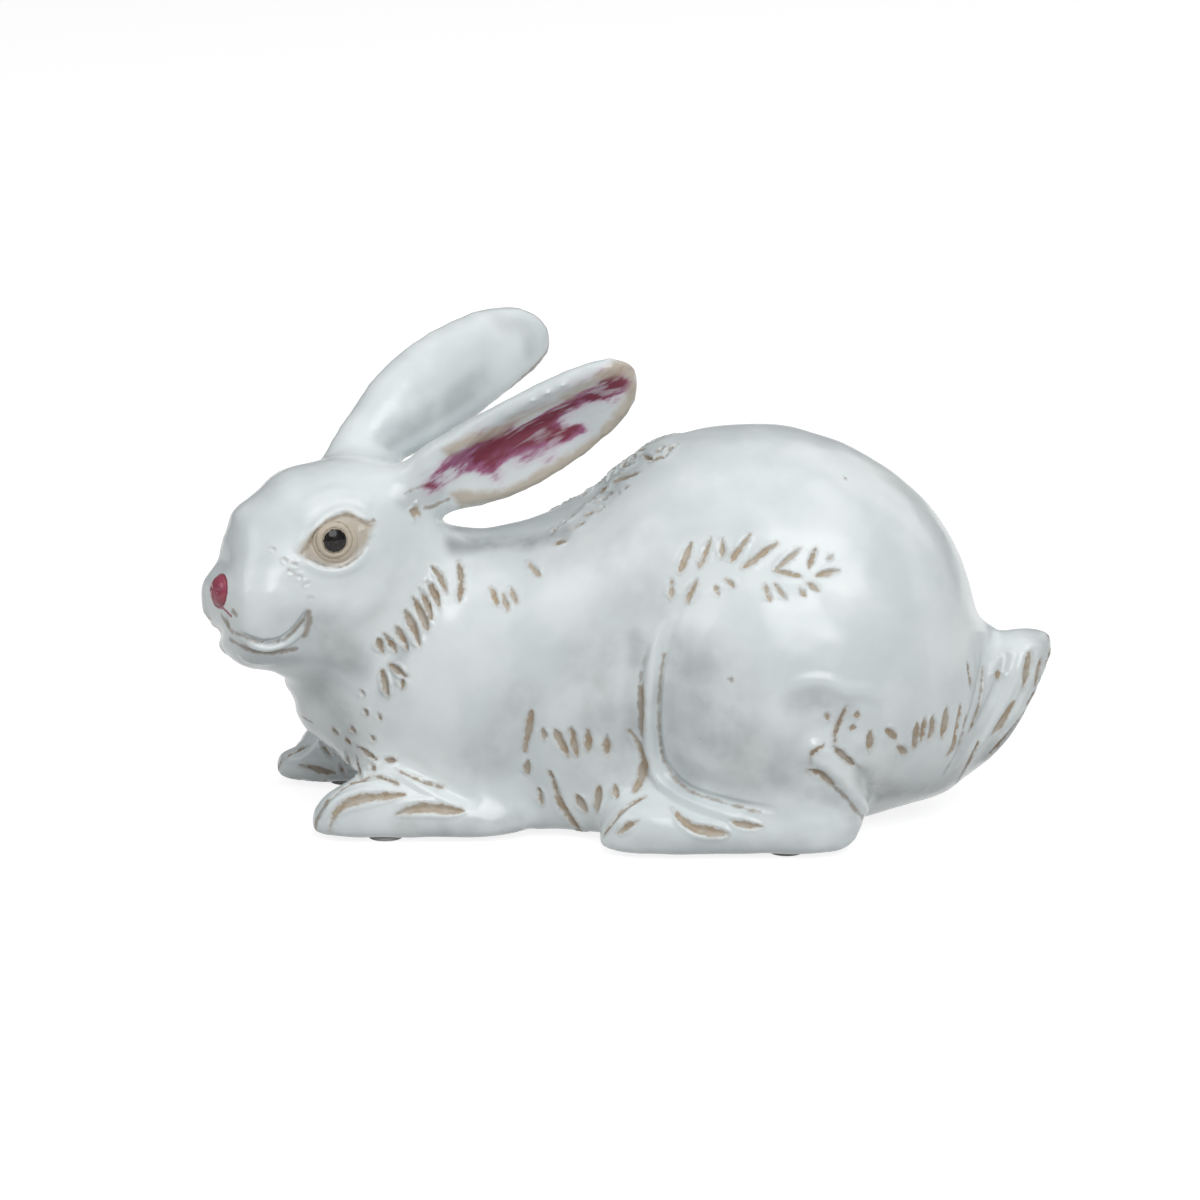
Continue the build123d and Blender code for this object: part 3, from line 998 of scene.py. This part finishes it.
    def pull(self, pins):
        """Draw the outline to where it is seen, with all that lies behind it."""
        seen = picture_points(self.places)
        shift, total = np.zeros((len(seen), 2)), np.zeros(len(seen))
        for start, end, reach in pins:
            share = np.exp(-((seen - np.array(start)) ** 2).sum(1) / (2 * reach**2))
            shift += share[:, None] * (np.array(end, float) - np.array(start))
            total += share
        shift = shift / np.maximum(total, 1)[:, None] * picture_scale
        self.places += np.outer(shift[:, 0], view_right) - np.outer(shift[:, 1], view_up)
        self.settle()

    def stain(self, tint, rings, plane=None):
        """Tint the skin inside rings of picture points, on the near side or on its mirror image."""
        places, normals = self.places, self.normals
        if plane:
            middle, across, _ = self.mirrors[plane]
            places, normals = flipped(places, across, middle), flipped(normals, across)
        seen = picture_points(places)
        for ring in rings:
            corners = np.array(ring, float)
            middle = self.spot(*corners.mean(0))[0]
            low, high = corners.min(0) - ring_margin, corners.max(0) + ring_margin
            level = np.abs((places - middle) @ ahead) < stain_depth
            found = ((seen > low) & (seen < high)).all(1) & level & (normals @ ahead < turned_away)
            found = np.nonzero(found)[0]
            raise_to(self.tints[tint], found, depth_inside(seen[found], corners) * picture_scale)

    def stain_far_ear(self, tint, rings):
        """Give the far ear the near ear's colour areas, place for place in its own scoop."""
        middle, ways, sizes = ear_ways("ear_left")
        far_middle, far_ways, far_sizes = ear_ways("ear_right")
        local = (self.places - far_middle) @ far_ways.T
        inside = (np.abs(local) < far_sizes * scoop_share).all(1)
        found = np.nonzero(inside & (self.normals @ far_ways[2] > scoop_facing))[0]
        for ring in rings:
            corners = np.array([(self.spot(u, v)[0] - middle) @ ways[:2].T for u, v in ring])
            corners *= far_sizes[:2] / sizes[:2]
            raise_to(self.tints[tint], found, depth_inside(local[found, :2], corners))


def seam_closeness(places, reach):
    """1 where a point of the skin lies on the seam of two castings, falling to 0 at reach from it."""
    gaps = np.full((len(places), len(castings)), reach)
    for k, name in enumerate(castings):
        tree = tree_of(nodes[name].data)[0]
        low, high = (np.array(corner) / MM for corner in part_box(name))
        around = ((places > low - reach) & (places < high + reach)).all(1)
        for number in np.nonzero(around)[0]:
            gap = tree.find_nearest(Vector(places[number]) * MM, reach * MM)[3]
            if gap is not None:
                gaps[number, k] = gap / MM
    gaps.sort(axis=1)
    return 1 - gaps[:, 1] / reach


def without_specks(mesh, labels):
    """The labels of faces, with each face that most of its neighbours outvote given their label."""
    bm = opened(mesh)
    bm.faces.ensure_lookup_table()
    for _ in range(speck_rounds):
        before = labels.copy()
        for face in bm.faces:
            others = [other for edge in face.edges for other in edge.link_faces if other != face]
            beside = [before[other.index] for other in others]
            if beside.count(before[face.index]) < 2:
                labels[face.index] = max(set(beside), key=beside.count)
    bm.free()
    return labels


def label_faces(mesh):
    """Give each face the number of the casting that it lies on."""
    tree, firsts = tree_of(*(nodes[name].data for name in castings + pellets))
    numbers = [tree.find_nearest(face.center)[2] for face in mesh.polygons]
    labels = np.searchsorted(firsts, numbers, side="right") - 1
    labels[labels >= len(castings)] = castings.index("head")
    write(mesh, "casting", "INT", without_specks(mesh, labels).astype(np.int32), domain="FACE")


def made_finer(skin, marks):
    """Split the faces in four under narrow marks and on all castings but the torso."""
    mesh = skin.mesh
    close = np.zeros(len(mesh.vertices), bool)
    for line, facing, half_width, *_ in marks:
        if half_width < widest_fine_mark:
            close[skin.near(line, facing, half_width * fine_share + fine_margin)[0]] = True
    bm = opened(mesh)
    label = bm.faces.layers.int["casting"]
    torso = castings.index("torso")
    for face in bm.faces:
        if face[label] != torso:
            for vert in face.verts:
                close[vert.index] = True
    edges = [edge for edge in bm.edges if close[edge.verts[0].index] and close[edge.verts[1].index]]
    bmesh.ops.subdivide_edges(bm, edges=edges, cuts=1, use_grid_fill=True)
    return Skin(closed(bm, mesh))


def even_skin(context, grain, seam_reach):
    """One even skin over the luted castings, smooth over their seams and in their hollows."""
    mesh = outer_shell(fused_castings(context, grain * voxel_grains))
    label_faces(mesh)
    skin = Skin(mesh)
    seams = seam_closeness(skin.places, seam_reach / MM)
    outward = ((skin.around(skin.places) - skin.places) * skin.normals).sum(1)
    blend = skin.spread(np.maximum(step(outward, *hollow_band), step(seams, *seam_band)), seam_spread)
    thin = step(skin.spread(-outward, edge_spread), *thin_band)
    skin.smooth(even_pull * np.clip(blend * blend_gain, least_blend, 1), seam_passes)
    skin.smooth(even_pull * (1 - thin_hold * thin), skin_passes)
    skin.settle()
    whole = shown(context, "skin", mesh)
    finer = whole.modifiers.new("Finer skin", "SUBSURF")
    finer.levels = finer.render_levels = 1
    mesh = finished_mesh(whole)
    mesh.name = "glazed_skin"
    return Skin(mesh)


def carved(skin):
    """The skin pulled to the outline, with its forms, and with its strokes cut."""
    skin.pull(outline_pins)
    for mark in skin.lay_forms(*broad_forms):
        skin.form(*mark)
    for height, size in thumb_marks:
        skin.thumbed(height, size)
    skin.raise_skin()
    fine = skin.lay_forms(*fine_forms)
    strokes = []
    for runs, plane, tool in fur:
        strokes += skin.lay(runs, plane, *tool)
    skin = made_finer(skin, fine + strokes)
    skin.smooth(np.full(len(skin.places), even_pull), fine_passes)
    skin.smooth(even_pull * skin.on_castings("ear_left", "ear_right"), ear_passes)
    for name in pellets:
        skin.socket(name)
    skin.raise_skin()
    for mark in fine:
        skin.form(*mark)
    for mark in strokes:
        skin.cut(*mark)
    skin.raise_skin()
    return skin


def tint_skin(skin):
    """Lay the colour lines, the painted shade and the colour areas on the carved skin."""
    for tint, *group in tint_lines:
        for mark in skin.lay_forms(group):
            skin.line_tint(tint, *mark)
    for mark in skin.lay_forms(*shades):
        skin.shade(*mark)
    for tint, rings in (("crimson", ear_crimson), ("beige", ear_beige)):
        skin.stain(tint, rings)
        skin.stain_far_ear(tint, rings)
    skin.stain("beige", eye_beige)
    skin.stain("beige", eye_beige, "head")


class RABBIT_OT_skin(bpy.types.Operator):
    """Grow one even skin over the luted castings, then smooth, carve and tint it"""

    bl_idname = "rabbit.skin"
    bl_label = "Glazed skin"

    def execute(self, context):
        sizes = context.scene.rabbit_skin
        skin = carved(even_skin(context, sizes.grain, sizes.seam_reach))
        tint_skin(skin)
        for tint in tints + casts:
            write(skin.mesh, tint, "FLOAT", skin.tints[tint].astype(np.float32))
        write(skin.mesh, "skin_normal", "FLOAT_VECTOR", skin.normals.astype(np.float32), "vector")
        skin.mesh.use_fake_user = True
        return {"FINISHED"}


def boundary_loops(bm):
    """The rings of open edges of a mesh."""
    open_edges = {edge for edge in bm.edges if len(edge.link_faces) == 1}
    loops = []
    while open_edges:
        loop, growth = [], [open_edges.pop()]
        while growth:
            edge = growth.pop()
            loop.append(edge)
            for vert in edge.verts:
                for other in vert.link_edges:
                    if other in open_edges:
                        open_edges.remove(other)
                        growth.append(other)
        loops.append(loop)
    return loops


def close_seams(bm, label):
    """Turn each open seam in under the skin and lay a flat lid over it."""
    inward = bm.verts.layers.float_vector["skin_normal"]
    for seam in boundary_loops(bm):
        collar = bmesh.ops.extrude_edge_only(bm, edges=seam)["geom"]
        for item in collar:
            if isinstance(item, bmesh.types.BMVert):
                item.co -= item[inward] * seam_tuck
        loop = [item for item in collar if isinstance(item, bmesh.types.BMEdge) and len(item.link_faces) == 1]
        for edge in loop:
            edge.link_faces[0][label] = -1
        made = bmesh.ops.triangle_fill(bm, use_beauty=True, use_dissolve=False, edges=loop)
        lid = [item for item in made["geom"] if isinstance(item, bmesh.types.BMFace)]
        bmesh.ops.recalc_face_normals(bm, faces=lid)
        for face in lid:
            face[label] = -1
        pairs = [edge.link_loops for edge in loop if len(edge.link_loops) == 2]
        if sum(first.vert == second.vert for first, second in pairs) > len(pairs) / 2:
            bmesh.ops.reverse_faces(bm, faces=lid)


def cut_out(name):
    """A closed piece of the skin that lies on one casting, with the whole skin's normals."""
    bm = opened(bpy.data.meshes["glazed_skin"])
    label = bm.faces.layers.int["casting"]
    number = castings.index(name)
    bmesh.ops.delete(bm, geom=[face for face in bm.faces if face[label] != number], context="FACES")
    close_seams(bm, label)
    mesh = closed(bm, bpy.data.meshes.new(name + "_glazed"))
    mesh.shade_smooth()
    corners = read(mesh.loops, "vertex_index", kind=np.int64)
    split = read(mesh.attributes["skin_normal"].data, "vector", 3)[corners]
    sides = read(mesh.polygons, "loop_total", kind=np.int64)
    face_of_corner = np.repeat(np.arange(len(sides)), sides)
    capped = read(mesh.attributes["casting"].data, "value", kind=np.int32)[face_of_corner] < 0
    split[capped] = read(mesh.polygons, "normal", 3)[face_of_corner[capped]]
    mesh.normals_split_custom_set(split.tolist())
    for spent in ("skin_normal", "casting"):
        mesh.attributes.remove(mesh.attributes[spent])
    return mesh


def place_piece(context, mesh, node, material):
    """Show a finished piece in a node's stead."""
    piece = shown(context, node + "_glazed", mesh)
    mesh.materials.clear()
    mesh.materials.append(material)
    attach(piece, "root")
    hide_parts(node)


class Finish:
    """A material or a world whose nodes are written one call each."""

    def __init__(self, owner):
        self.owner = owner
        owner.use_nodes = True
        self.tree = owner.node_tree
        self.tree.nodes.clear()

    def node(self, kind, inputs=None, **settings):
        made = self.tree.nodes.new(kind)
        for key, value in settings.items():
            setattr(made, key, value)
        for key, value in (inputs or {}).items():
            if isinstance(value, bpy.types.NodeSocket):
                self.tree.links.new(value, made.inputs[key])
            elif isinstance(value, Color):
                made.inputs[key].default_value = (*value, 1.0)
            else:
                made.inputs[key].default_value = value
        return made

    def out(self, kind, inputs=None, **settings):
        return self.node(kind, inputs, **settings).outputs[0]

    def place(self):
        return self.node("ShaderNodeTexCoord").outputs["Object"]

    def mapped(self, place, **inputs):
        return self.out("ShaderNodeMapping", {"Vector": place, **inputs})

    def noise(self, place, scale, detail=2.0, roughness=0.5):
        inputs = {"Vector": place, "Scale": scale, "Detail": detail, "Roughness": roughness}
        return self.out("ShaderNodeTexNoise", inputs)

    def mottle(self, name, place):
        """One of the noises in the table, with its band spread out."""
        scale, detail, roughness, *band = mottles[name]
        return self.ramp(self.noise(place, scale, detail, roughness), *band)

    def tint(self, name):
        return self.node("ShaderNodeAttribute", attribute_name=name).outputs["Fac"]

    def ramp(self, value, low, high, start=0.0, end=1.0):
        inputs = {"Value": value, "From Min": low, "From Max": high, "To Min": start, "To Max": end}
        return self.out("ShaderNodeMapRange", inputs, interpolation_type="SMOOTHSTEP")

    def math(self, operation, *values):
        return self.out("ShaderNodeMath", dict(enumerate(values)), operation=operation)

    def plus(self, first, second):
        return self.math("ADD", first, second)

    def times(self, first, second):
        return self.math("MULTIPLY", first, second)

    def blend(self, share, first, second):
        return self.node("ShaderNodeMix", {0: share, 6: first, 7: second}, data_type="RGBA").outputs[2]

    def between(self, share, first, second):
        return self.out("ShaderNodeMix", {0: share, 2: first, 3: second})

    def coat(self, under, over, value, low, high, strength=1.0):
        """A colour laid over another where a value passes from low to high."""
        return self.blend(self.times(self.ramp(value, low, high), strength), under, over)

    def surface(self, colour, roughness, height, depth, **sockets):
        bump = self.out("ShaderNodeBump", {"Height": height, "Distance": depth})
        inputs = {"Base Color": colour, "Roughness": roughness, "Normal": bump, **sockets}
        self.node("ShaderNodeOutputMaterial", {0: self.out("ShaderNodeBsdfPrincipled", inputs)})
        return self.owner


def glaze_finish(colours):
    """Milky glaze that thins to brown clay in the carving, with copper red in the ears and on the nose, and
    darkened by painted shade.
    """
    finish = Finish(bpy.data.materials.new("milky_glaze"))
    place = finish.place()
    ragged, wobble = finish.mottle("ragged", place), finish.mottle("wobble", place)
    white = finish.blend(finish.mottle("cloud", place), colours.glaze, colours.glaze_shade)
    # Painted shade: the glaze is darkened where shade falls, over wide parts and along lines
    shade = finish.times(finish.tint("shade"), finish.mottle("shade", place))
    white = finish.blend(shade, white, colours.grey)
    white = finish.coat(white, colours.grey, finish.tint("grey"), *bands["grey"])

    brushed = finish.mapped(place, Rotation=(0, brush_lean, 0))
    drawn = finish.mapped(brushed, Scale=(drawn_stretch, 1, 1))
    field = finish.plus(finish.tint("crimson"), finish.mottle("streak", drawn))
    white = finish.coat(white, colours.lilac, field, *bands["lilac"])
    patch = finish.plus(field, finish.mottle("patch", drawn))
    ear_red = finish.coat(colours.violet, colours.crimson, patch, *bands["crimson"])
    runs = finish.mottle("runs", finish.mapped(brushed, Scale=(run_stretch, 1, 1)))
    white = finish.coat(white, ear_red, field, *bands["ear red"], runs)

    red = finish.plus(finish.tint("red"), finish.times(ragged, red_raggedness))
    white = finish.coat(white, colours.nose, red, *bands["nose"])
    beige = finish.plus(finish.tint("beige"), finish.mottle("soft", place))
    white = finish.coat(white, colours.beige, beige, *bands["beige"])
    brown = finish.plus(finish.tint("brown"), wobble)
    white = finish.coat(white, colours.clay_dark, brown, *bands["brown"])

    edge = finish.plus(finish.tint("bare"), finish.times(ragged, bare_raggedness))
    bare = finish.plus(edge, finish.plus(finish.mottle("veil", place), wobble))
    stained = finish.coat(white, colours.stain, bare, *bands["stain"])
    rim = finish.times(finish.ramp(bare, *bands["rim"]), finish.mottle("rim", place))
    dark = finish.times(finish.tint("dark"), dark_strength)
    tone = finish.math("MAXIMUM", finish.times(rim, rim_strength), dark)
    clay = finish.blend(tone, colours.clay, colours.clay_dark)
    share = finish.ramp(bare, *bands["clay"])
    colour = finish.blend(finish.times(share, finish.mottle("thin", place)), stained, clay)
    fine, coarse = (finish.noise(place, grain_scale[kind]) for kind in ("glaze", "clay"))
    roughness = finish.between(share, gloss["glaze"], gloss["clay"])
    return finish.surface(colour, roughness, finish.between(share, fine, coarse), glaze_grain, IOR=1.5)


def eye_finish(colours):
    """Beige glaze with brown rings, round a black glossy pupil."""
    finish = Finish(bpy.data.materials.new("eye_glaze"))
    place = finish.place()
    level = finish.plus(finish.tint("level"), finish.mottle("eye edge", place))
    skin = finish.blend(finish.noise(place, eye_mottle, 3), colours.eye, colours.beige)
    for radius, width, strength in eye_stains:
        away = finish.math("ABSOLUTE", finish.math("SUBTRACT", level, radius))
        ring = finish.times(finish.ramp(away, 0.0, width, 1.0, 0.0), strength)
        skin = finish.blend(ring, skin, colours.clay_dark)
    black = finish.ramp(level, *bands["pupil"])
    ink = finish.blend(finish.mottle("ink", place), colours.pupil, colours.pupil_shade)
    colour = finish.blend(black, skin, ink)
    roughness = finish.between(black, gloss["eye"], gloss["pupil"])
    return finish.surface(colour, roughness, finish.noise(place, grain_scale["eye"]), pellet_grain, IOR=1.36)


def nose_finish(colours):
    """Crimson glaze, darker in the nostrils and pale where it runs thin."""
    finish = Finish(bpy.data.materials.new("nose_glaze"))
    place = finish.place()
    cloud = finish.times(finish.mottle("nose", place), nose_cloud)
    red = finish.blend(cloud, colours.nose, colours.violet)
    pit = finish.ramp(finish.tint("level"), *bands["nostril"])
    colour = finish.blend(pit, red, colours.crimson)
    grain = finish.noise(place, grain_scale["nose"])
    return finish.surface(colour, gloss["nose"], grain, pellet_grain, IOR=1.5)


def plain_finish(name, colour, shade, scale, roughness, depth):
    """One colour with a mottled shade and a fine grain."""
    finish = Finish(bpy.data.materials.new(name))
    place = finish.place()
    mottled = finish.blend(finish.noise(place, scale, 3), colour, shade)
    return finish.surface(mottled, roughness, finish.noise(place, scale * grain_ratio), depth)


class RABBIT_OT_castings(bpy.types.Operator):
    """Cut the skin into one closed glazed piece for each casting"""

    bl_idname = "rabbit.castings"
    bl_label = "Glazed castings"

    def execute(self, context):
        material = glaze_finish(context.scene.rabbit_colours)
        for name in castings:
            place_piece(context, cut_out(name), name, material)
        return {"FINISHED"}


def pellet_mesh(name, shape):
    """A pellet in its node's place, with its face shaped by its distances forward and up."""
    middle, outward, forward, upright, half_sizes = pellet_frame(name)
    bm = bmesh.new()
    bmesh.ops.create_uvsphere(bm, u_segments=160, v_segments=96, radius=1)
    level = bm.verts.layers.float.new("level")
    for vert in bm.verts:
        x, y, z = (share * half for share, half in zip(vert.co, half_sizes))
        vert[level], height = shape(x, y)
        if z > 0:
            z += height
        vert.co = Vector(middle + forward * x + upright * y + outward * z) * MM
    bmesh.ops.recalc_face_normals(bm, faces=bm.faces)
    mesh = closed(bm, bpy.data.meshes.new(name + "_glazed"))
    mesh.shade_smooth()
    return mesh


def eye_shape(x, y):
    """Distance from the pupil's middle, and the height of the pupil's dome and of the rings round it."""
    from_pupil = hypot(x - pupil_forward, y - pupil_up)
    height = pupil_height * max(0.0, 1 - (from_pupil / pupil_radius) ** 2)
    for radius, width, rise in eye_rings:
        height += rise * bell(from_pupil, radius, width)
    return from_pupil, height


def nose_shape(x, y):
    """Distance from the nearer nostril, and the depth of nostril and philtrum."""
    from_nostril = hypot(abs(x) - nostril_side, y - nostril_up)
    cleft = cleft_depth * bell(x, 0, cleft_width) * (y < cleft_top)
    return from_nostril, -nostril_depth * bell(from_nostril, 0, nostril_width) - cleft


class RABBIT_OT_eyes(bpy.types.Operator):
    """Shape both eye pellets, each with a domed pupil and two rings"""

    bl_idname = "rabbit.eyes"
    bl_label = "Eyes"

    def execute(self, context):
        material = eye_finish(context.scene.rabbit_colours)
        for name in ("eye_left", "eye_right"):
            place_piece(context, pellet_mesh(name, eye_shape), name, material)
        return {"FINISHED"}


class RABBIT_OT_nose(bpy.types.Operator):
    """Shape the nose pellet, with its nostrils"""

    bl_idname = "rabbit.nose"
    bl_label = "Nose"

    def execute(self, context):
        material = nose_finish(context.scene.rabbit_colours)
        place_piece(context, pellet_mesh("nose", nose_shape), "nose", material)
        return {"FINISHED"}


def turned_ring(name, inner, rounding):
    """A flat ring as wide and high as its node, in the node's place, with rounded corners."""
    low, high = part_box(name)
    middle, outer = (low + high) / 2, (high.x - low.x) / 2
    bm = bmesh.new()
    corners = [(inner, low.z), (outer, low.z), (outer, high.z), (inner, high.z)]
    verts = [bm.verts.new((middle.x + radius, middle.y, height)) for radius, height in corners]
    edges = [bm.edges.new((verts[k], verts[(k + 1) % 4])) for k in range(4)]
    centre = (middle.x, middle.y, 0)
    bmesh.ops.spin(
        bm, geom=verts + edges, cent=centre, axis=(0, 0, 1), angle=radians(360), steps=72, use_merge=True
    )
    bmesh.ops.remove_doubles(bm, verts=bm.verts, dist=weld)
    bmesh.ops.recalc_face_normals(bm, faces=bm.faces)
    rims = [edge for edge in bm.edges if edge.calc_face_angle(0) > sharp_turn]
    bmesh.ops.bevel(
        bm,
        geom=rims,
        offset=rounding,
        affect="EDGES",
        segments=3,
        profile=0.5,
        material=-1,
        clamp_overlap=True,
    )
    mesh = closed(bm, bpy.data.meshes.new(name + "_finished"))
    mesh.shade_smooth()
    return mesh


class RABBIT_OT_base(bpy.types.Operator):
    """Make the bare clay disc in the pour hole and the felt pads"""

    bl_idname = "rabbit.base"
    bl_label = "Base disc and pads"

    def execute(self, context):
        colours = context.scene.rabbit_colours
        clay = plain_finish(
            "bare_clay", colours.clay, colours.clay_dark, disc_mottle, gloss["disc"], disc_grain
        )
        low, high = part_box("base_disc")
        middle = (low + high) / 2
        vent = min((vert.co.xy - middle.xy).length for vert in nodes["base_disc"].data.vertices)
        place_piece(context, turned_ring("base_disc", vent, disc_rounding), "base_disc", clay)
        felt = plain_finish("felt", colours.felt, colours.felt_shade, felt_mottle, gloss["felt"], felt_grain)
        for name in ("pad_front_left", "pad_front_right", "pad_hind_left", "pad_hind_right"):
            place_piece(context, turned_ring(name, pad_pinhole, pad_rounding), name, felt)
        return {"FINISHED"}


def pale_floor(context, stage):
    """A floor that looks white to the camera and gives its own colour to the light on the object."""
    bm = bmesh.new()
    bmesh.ops.create_grid(bm, x_segments=1, y_segments=1, size=stage.floor_size / 2)
    floor = shown(context, "floor", closed(bm, bpy.data.meshes.new("floor")))
    finish = Finish(bpy.data.materials.new("pale_floor"))
    path = finish.node("ShaderNodeLightPath").outputs
    seen = finish.math("MAXIMUM", path["Is Camera Ray"], path["Is Glossy Ray"])
    seen = finish.math("MAXIMUM", seen, path["Is Transmission Ray"])
    plain = finish.out("ShaderNodeBsdfDiffuse", {"Color": stage.floor_colour})
    shadowed = finish.out("ShaderNodeBsdfDiffuse", {"Color": stage.shadow_colour})
    glow = finish.out("ShaderNodeEmission", {"Color": white_light, "Strength": stage.floor_glow})
    lifted = finish.out("ShaderNodeAddShader", {0: shadowed, 1: glow})
    mixed = finish.out("ShaderNodeMixShader", {0: seen, 1: plain, 2: lifted})
    finish.node("ShaderNodeOutputMaterial", {0: mixed})
    floor.data.materials.append(finish.owner)


def plain_room(room_light):
    """A world that looks white to the camera and lights the object evenly."""
    room = Finish(bpy.data.worlds.new("plain_room"))
    seen = room.node("ShaderNodeLightPath").outputs["Is Camera Ray"]
    lit = room.out("ShaderNodeBackground", {"Color": white_light, "Strength": room_light})
    white = room.out("ShaderNodeBackground", {"Color": white_light, "Strength": 1.0})
    room.node("ShaderNodeOutputWorld", {0: room.out("ShaderNodeMixShader", {0: seen, 1: lit, 2: white})})
    return room.owner


class RABBIT_OT_stage(bpy.types.Operator):
    """Set the pale floor, the soft lights and the camera"""

    bl_idname = "rabbit.stage"
    bl_label = "Stage"

    def execute(self, context):
        stage = context.scene.rabbit_stage
        pale_floor(context, stage)
        context.scene.world = plain_room(stage.room_light)
        for name, place, size, share in lamps:
            data = bpy.data.lights.new(name, "AREA")
            data.size = size
            data.energy = stage.key_power * share
            lamp = shown(context, name, data)
            lamp.location = place
            lamp.rotation_euler = (view_aim - Vector(place)).to_track_quat("-Z", "Y").to_euler()
        data = bpy.data.cameras.new("camera")
        data.sensor_width = sensor_width
        data.lens = focal_pixels * sensor_width / picture_width
        data.clip_start, data.clip_end = sight_range
        camera = shown(context, "camera", data)
        camera.location = view_place
        camera.rotation_euler = view_ahead.to_track_quat("-Z", "Y").to_euler()
        context.scene.camera = camera
        context.scene.view_settings.view_transform = "Standard"
        return {"FINISHED"}


def amount(name, description, value, unit="NONE"):
    return bpy.props.FloatProperty(name=name, description=description, default=value, min=0, unit=unit)


def colour(name, description, value):
    return bpy.props.FloatVectorProperty(
        name=name, description=description, default=value, subtype="COLOR", min=0, max=1
    )


class RABBIT_PG_skin(bpy.types.PropertyGroup):
    grain: amount("Grain", "Spacing of the skin's points", 0.0013, "LENGTH")
    seam_reach: amount("Seam reach", "How far the smoothing of a seam reaches", 0.008, "LENGTH")


class RABBIT_PG_colours(bpy.types.PropertyGroup):
    glaze: colour("Glaze", "Thick milky glaze", (0.78, 0.835, 0.84))
    glaze_shade: colour("Glaze shade", "Cloudy parts of the glaze", (0.685, 0.745, 0.76))
    crimson: colour("Crimson", "Copper red in the ears", (0.20, 0.008, 0.04))
    violet: colour("Violet", "Where the red runs into the white", (0.34, 0.10, 0.22))
    lilac: colour("Lilac", "Haze round the copper red", (0.62, 0.45, 0.58))
    beige: colour("Beige", "Thin glaze on rims and round the eyes", (0.50, 0.43, 0.34))
    stain: colour("Stain", "Thin glaze beside bare clay", (0.45, 0.42, 0.38))
    clay: colour("Clay", "Bare fired clay", (0.50, 0.39, 0.26))
    clay_dark: colour("Dark clay", "Darker parts of the clay", (0.24, 0.175, 0.115))
    # Painted shade: the colour that the glaze is darkened to where shade falls
    grey: colour("Grey", "Shade where the glaze has pooled", (0.30, 0.32, 0.33))
    eye: colour("Eye", "Glaze of the eyeball", (0.64, 0.575, 0.48))
    pupil: colour("Pupil", "Black glaze of the pupil", (0.012, 0.011, 0.011))
    pupil_shade: colour("Pupil shade", "Thinner parts of the black", (0.05, 0.045, 0.04))
    nose: colour("Nose", "Copper red of the nose", (0.33, 0.06, 0.09))
    felt: colour("Felt", "Pads underneath", (0.78, 0.78, 0.75))
    felt_shade: colour("Felt shade", "Darker fibres of the felt", (0.66, 0.66, 0.63))


class RABBIT_PG_stage(bpy.types.PropertyGroup):
    floor_size: amount("Floor size", "Side of the square floor", 16.0, "LENGTH")
    floor_colour: colour("Floor", "Colour of the floor", (0.50, 0.50, 0.50))
    shadow_colour: colour("Floor in view", "How the camera sees light on the floor", (0.35, 0.35, 0.35))
    floor_glow: amount("Floor glow", "Brightness of the floor in the camera's view", 0.84)
    room_light: amount("Room light", "Strength of the light from all sides", 0.18)
    key_power: amount("Key light", "Power of the main lamp", 28.0, "POWER")


class RABBIT_PT_panel(bpy.types.Panel):
    """The rabbit's pieces, in the order in which they are made"""

    bl_idname = "RABBIT_PT_panel"
    bl_label = "Ceramic rabbit"
    bl_space_type = "VIEW_3D"
    bl_region_type = "UI"
    bl_category = "Rabbit"

    def draw(self, context):
        for operator in operators:
            self.layout.operator(operator.bl_idname)
        for group in (context.scene.rabbit_skin, context.scene.rabbit_colours, context.scene.rabbit_stage):
            for name in group.__annotations__:
                self.layout.prop(group, name)


operators = (
    RABBIT_OT_skin,
    RABBIT_OT_castings,
    RABBIT_OT_eyes,
    RABBIT_OT_nose,
    RABBIT_OT_base,
    RABBIT_OT_stage,
)
groups = (RABBIT_PG_skin, RABBIT_PG_colours, RABBIT_PG_stage)
classes = groups + operators + (RABBIT_PT_panel,)


def register():
    for made in classes:
        bpy.utils.register_class(made)
    bpy.types.Scene.rabbit_skin = bpy.props.PointerProperty(type=RABBIT_PG_skin)
    bpy.types.Scene.rabbit_colours = bpy.props.PointerProperty(type=RABBIT_PG_colours)
    bpy.types.Scene.rabbit_stage = bpy.props.PointerProperty(type=RABBIT_PG_stage)


def unregister():
    del bpy.types.Scene.rabbit_skin
    del bpy.types.Scene.rabbit_colours
    del bpy.types.Scene.rabbit_stage
    for made in reversed(classes):
        bpy.utils.unregister_class(made)


def main():
    """Make every piece and the stage."""
    register()
    for operator in operators:
        family, name = operator.bl_idname.split(".")
        getattr(getattr(bpy.ops, family), name)()


if __name__ == "__main__":
    main()
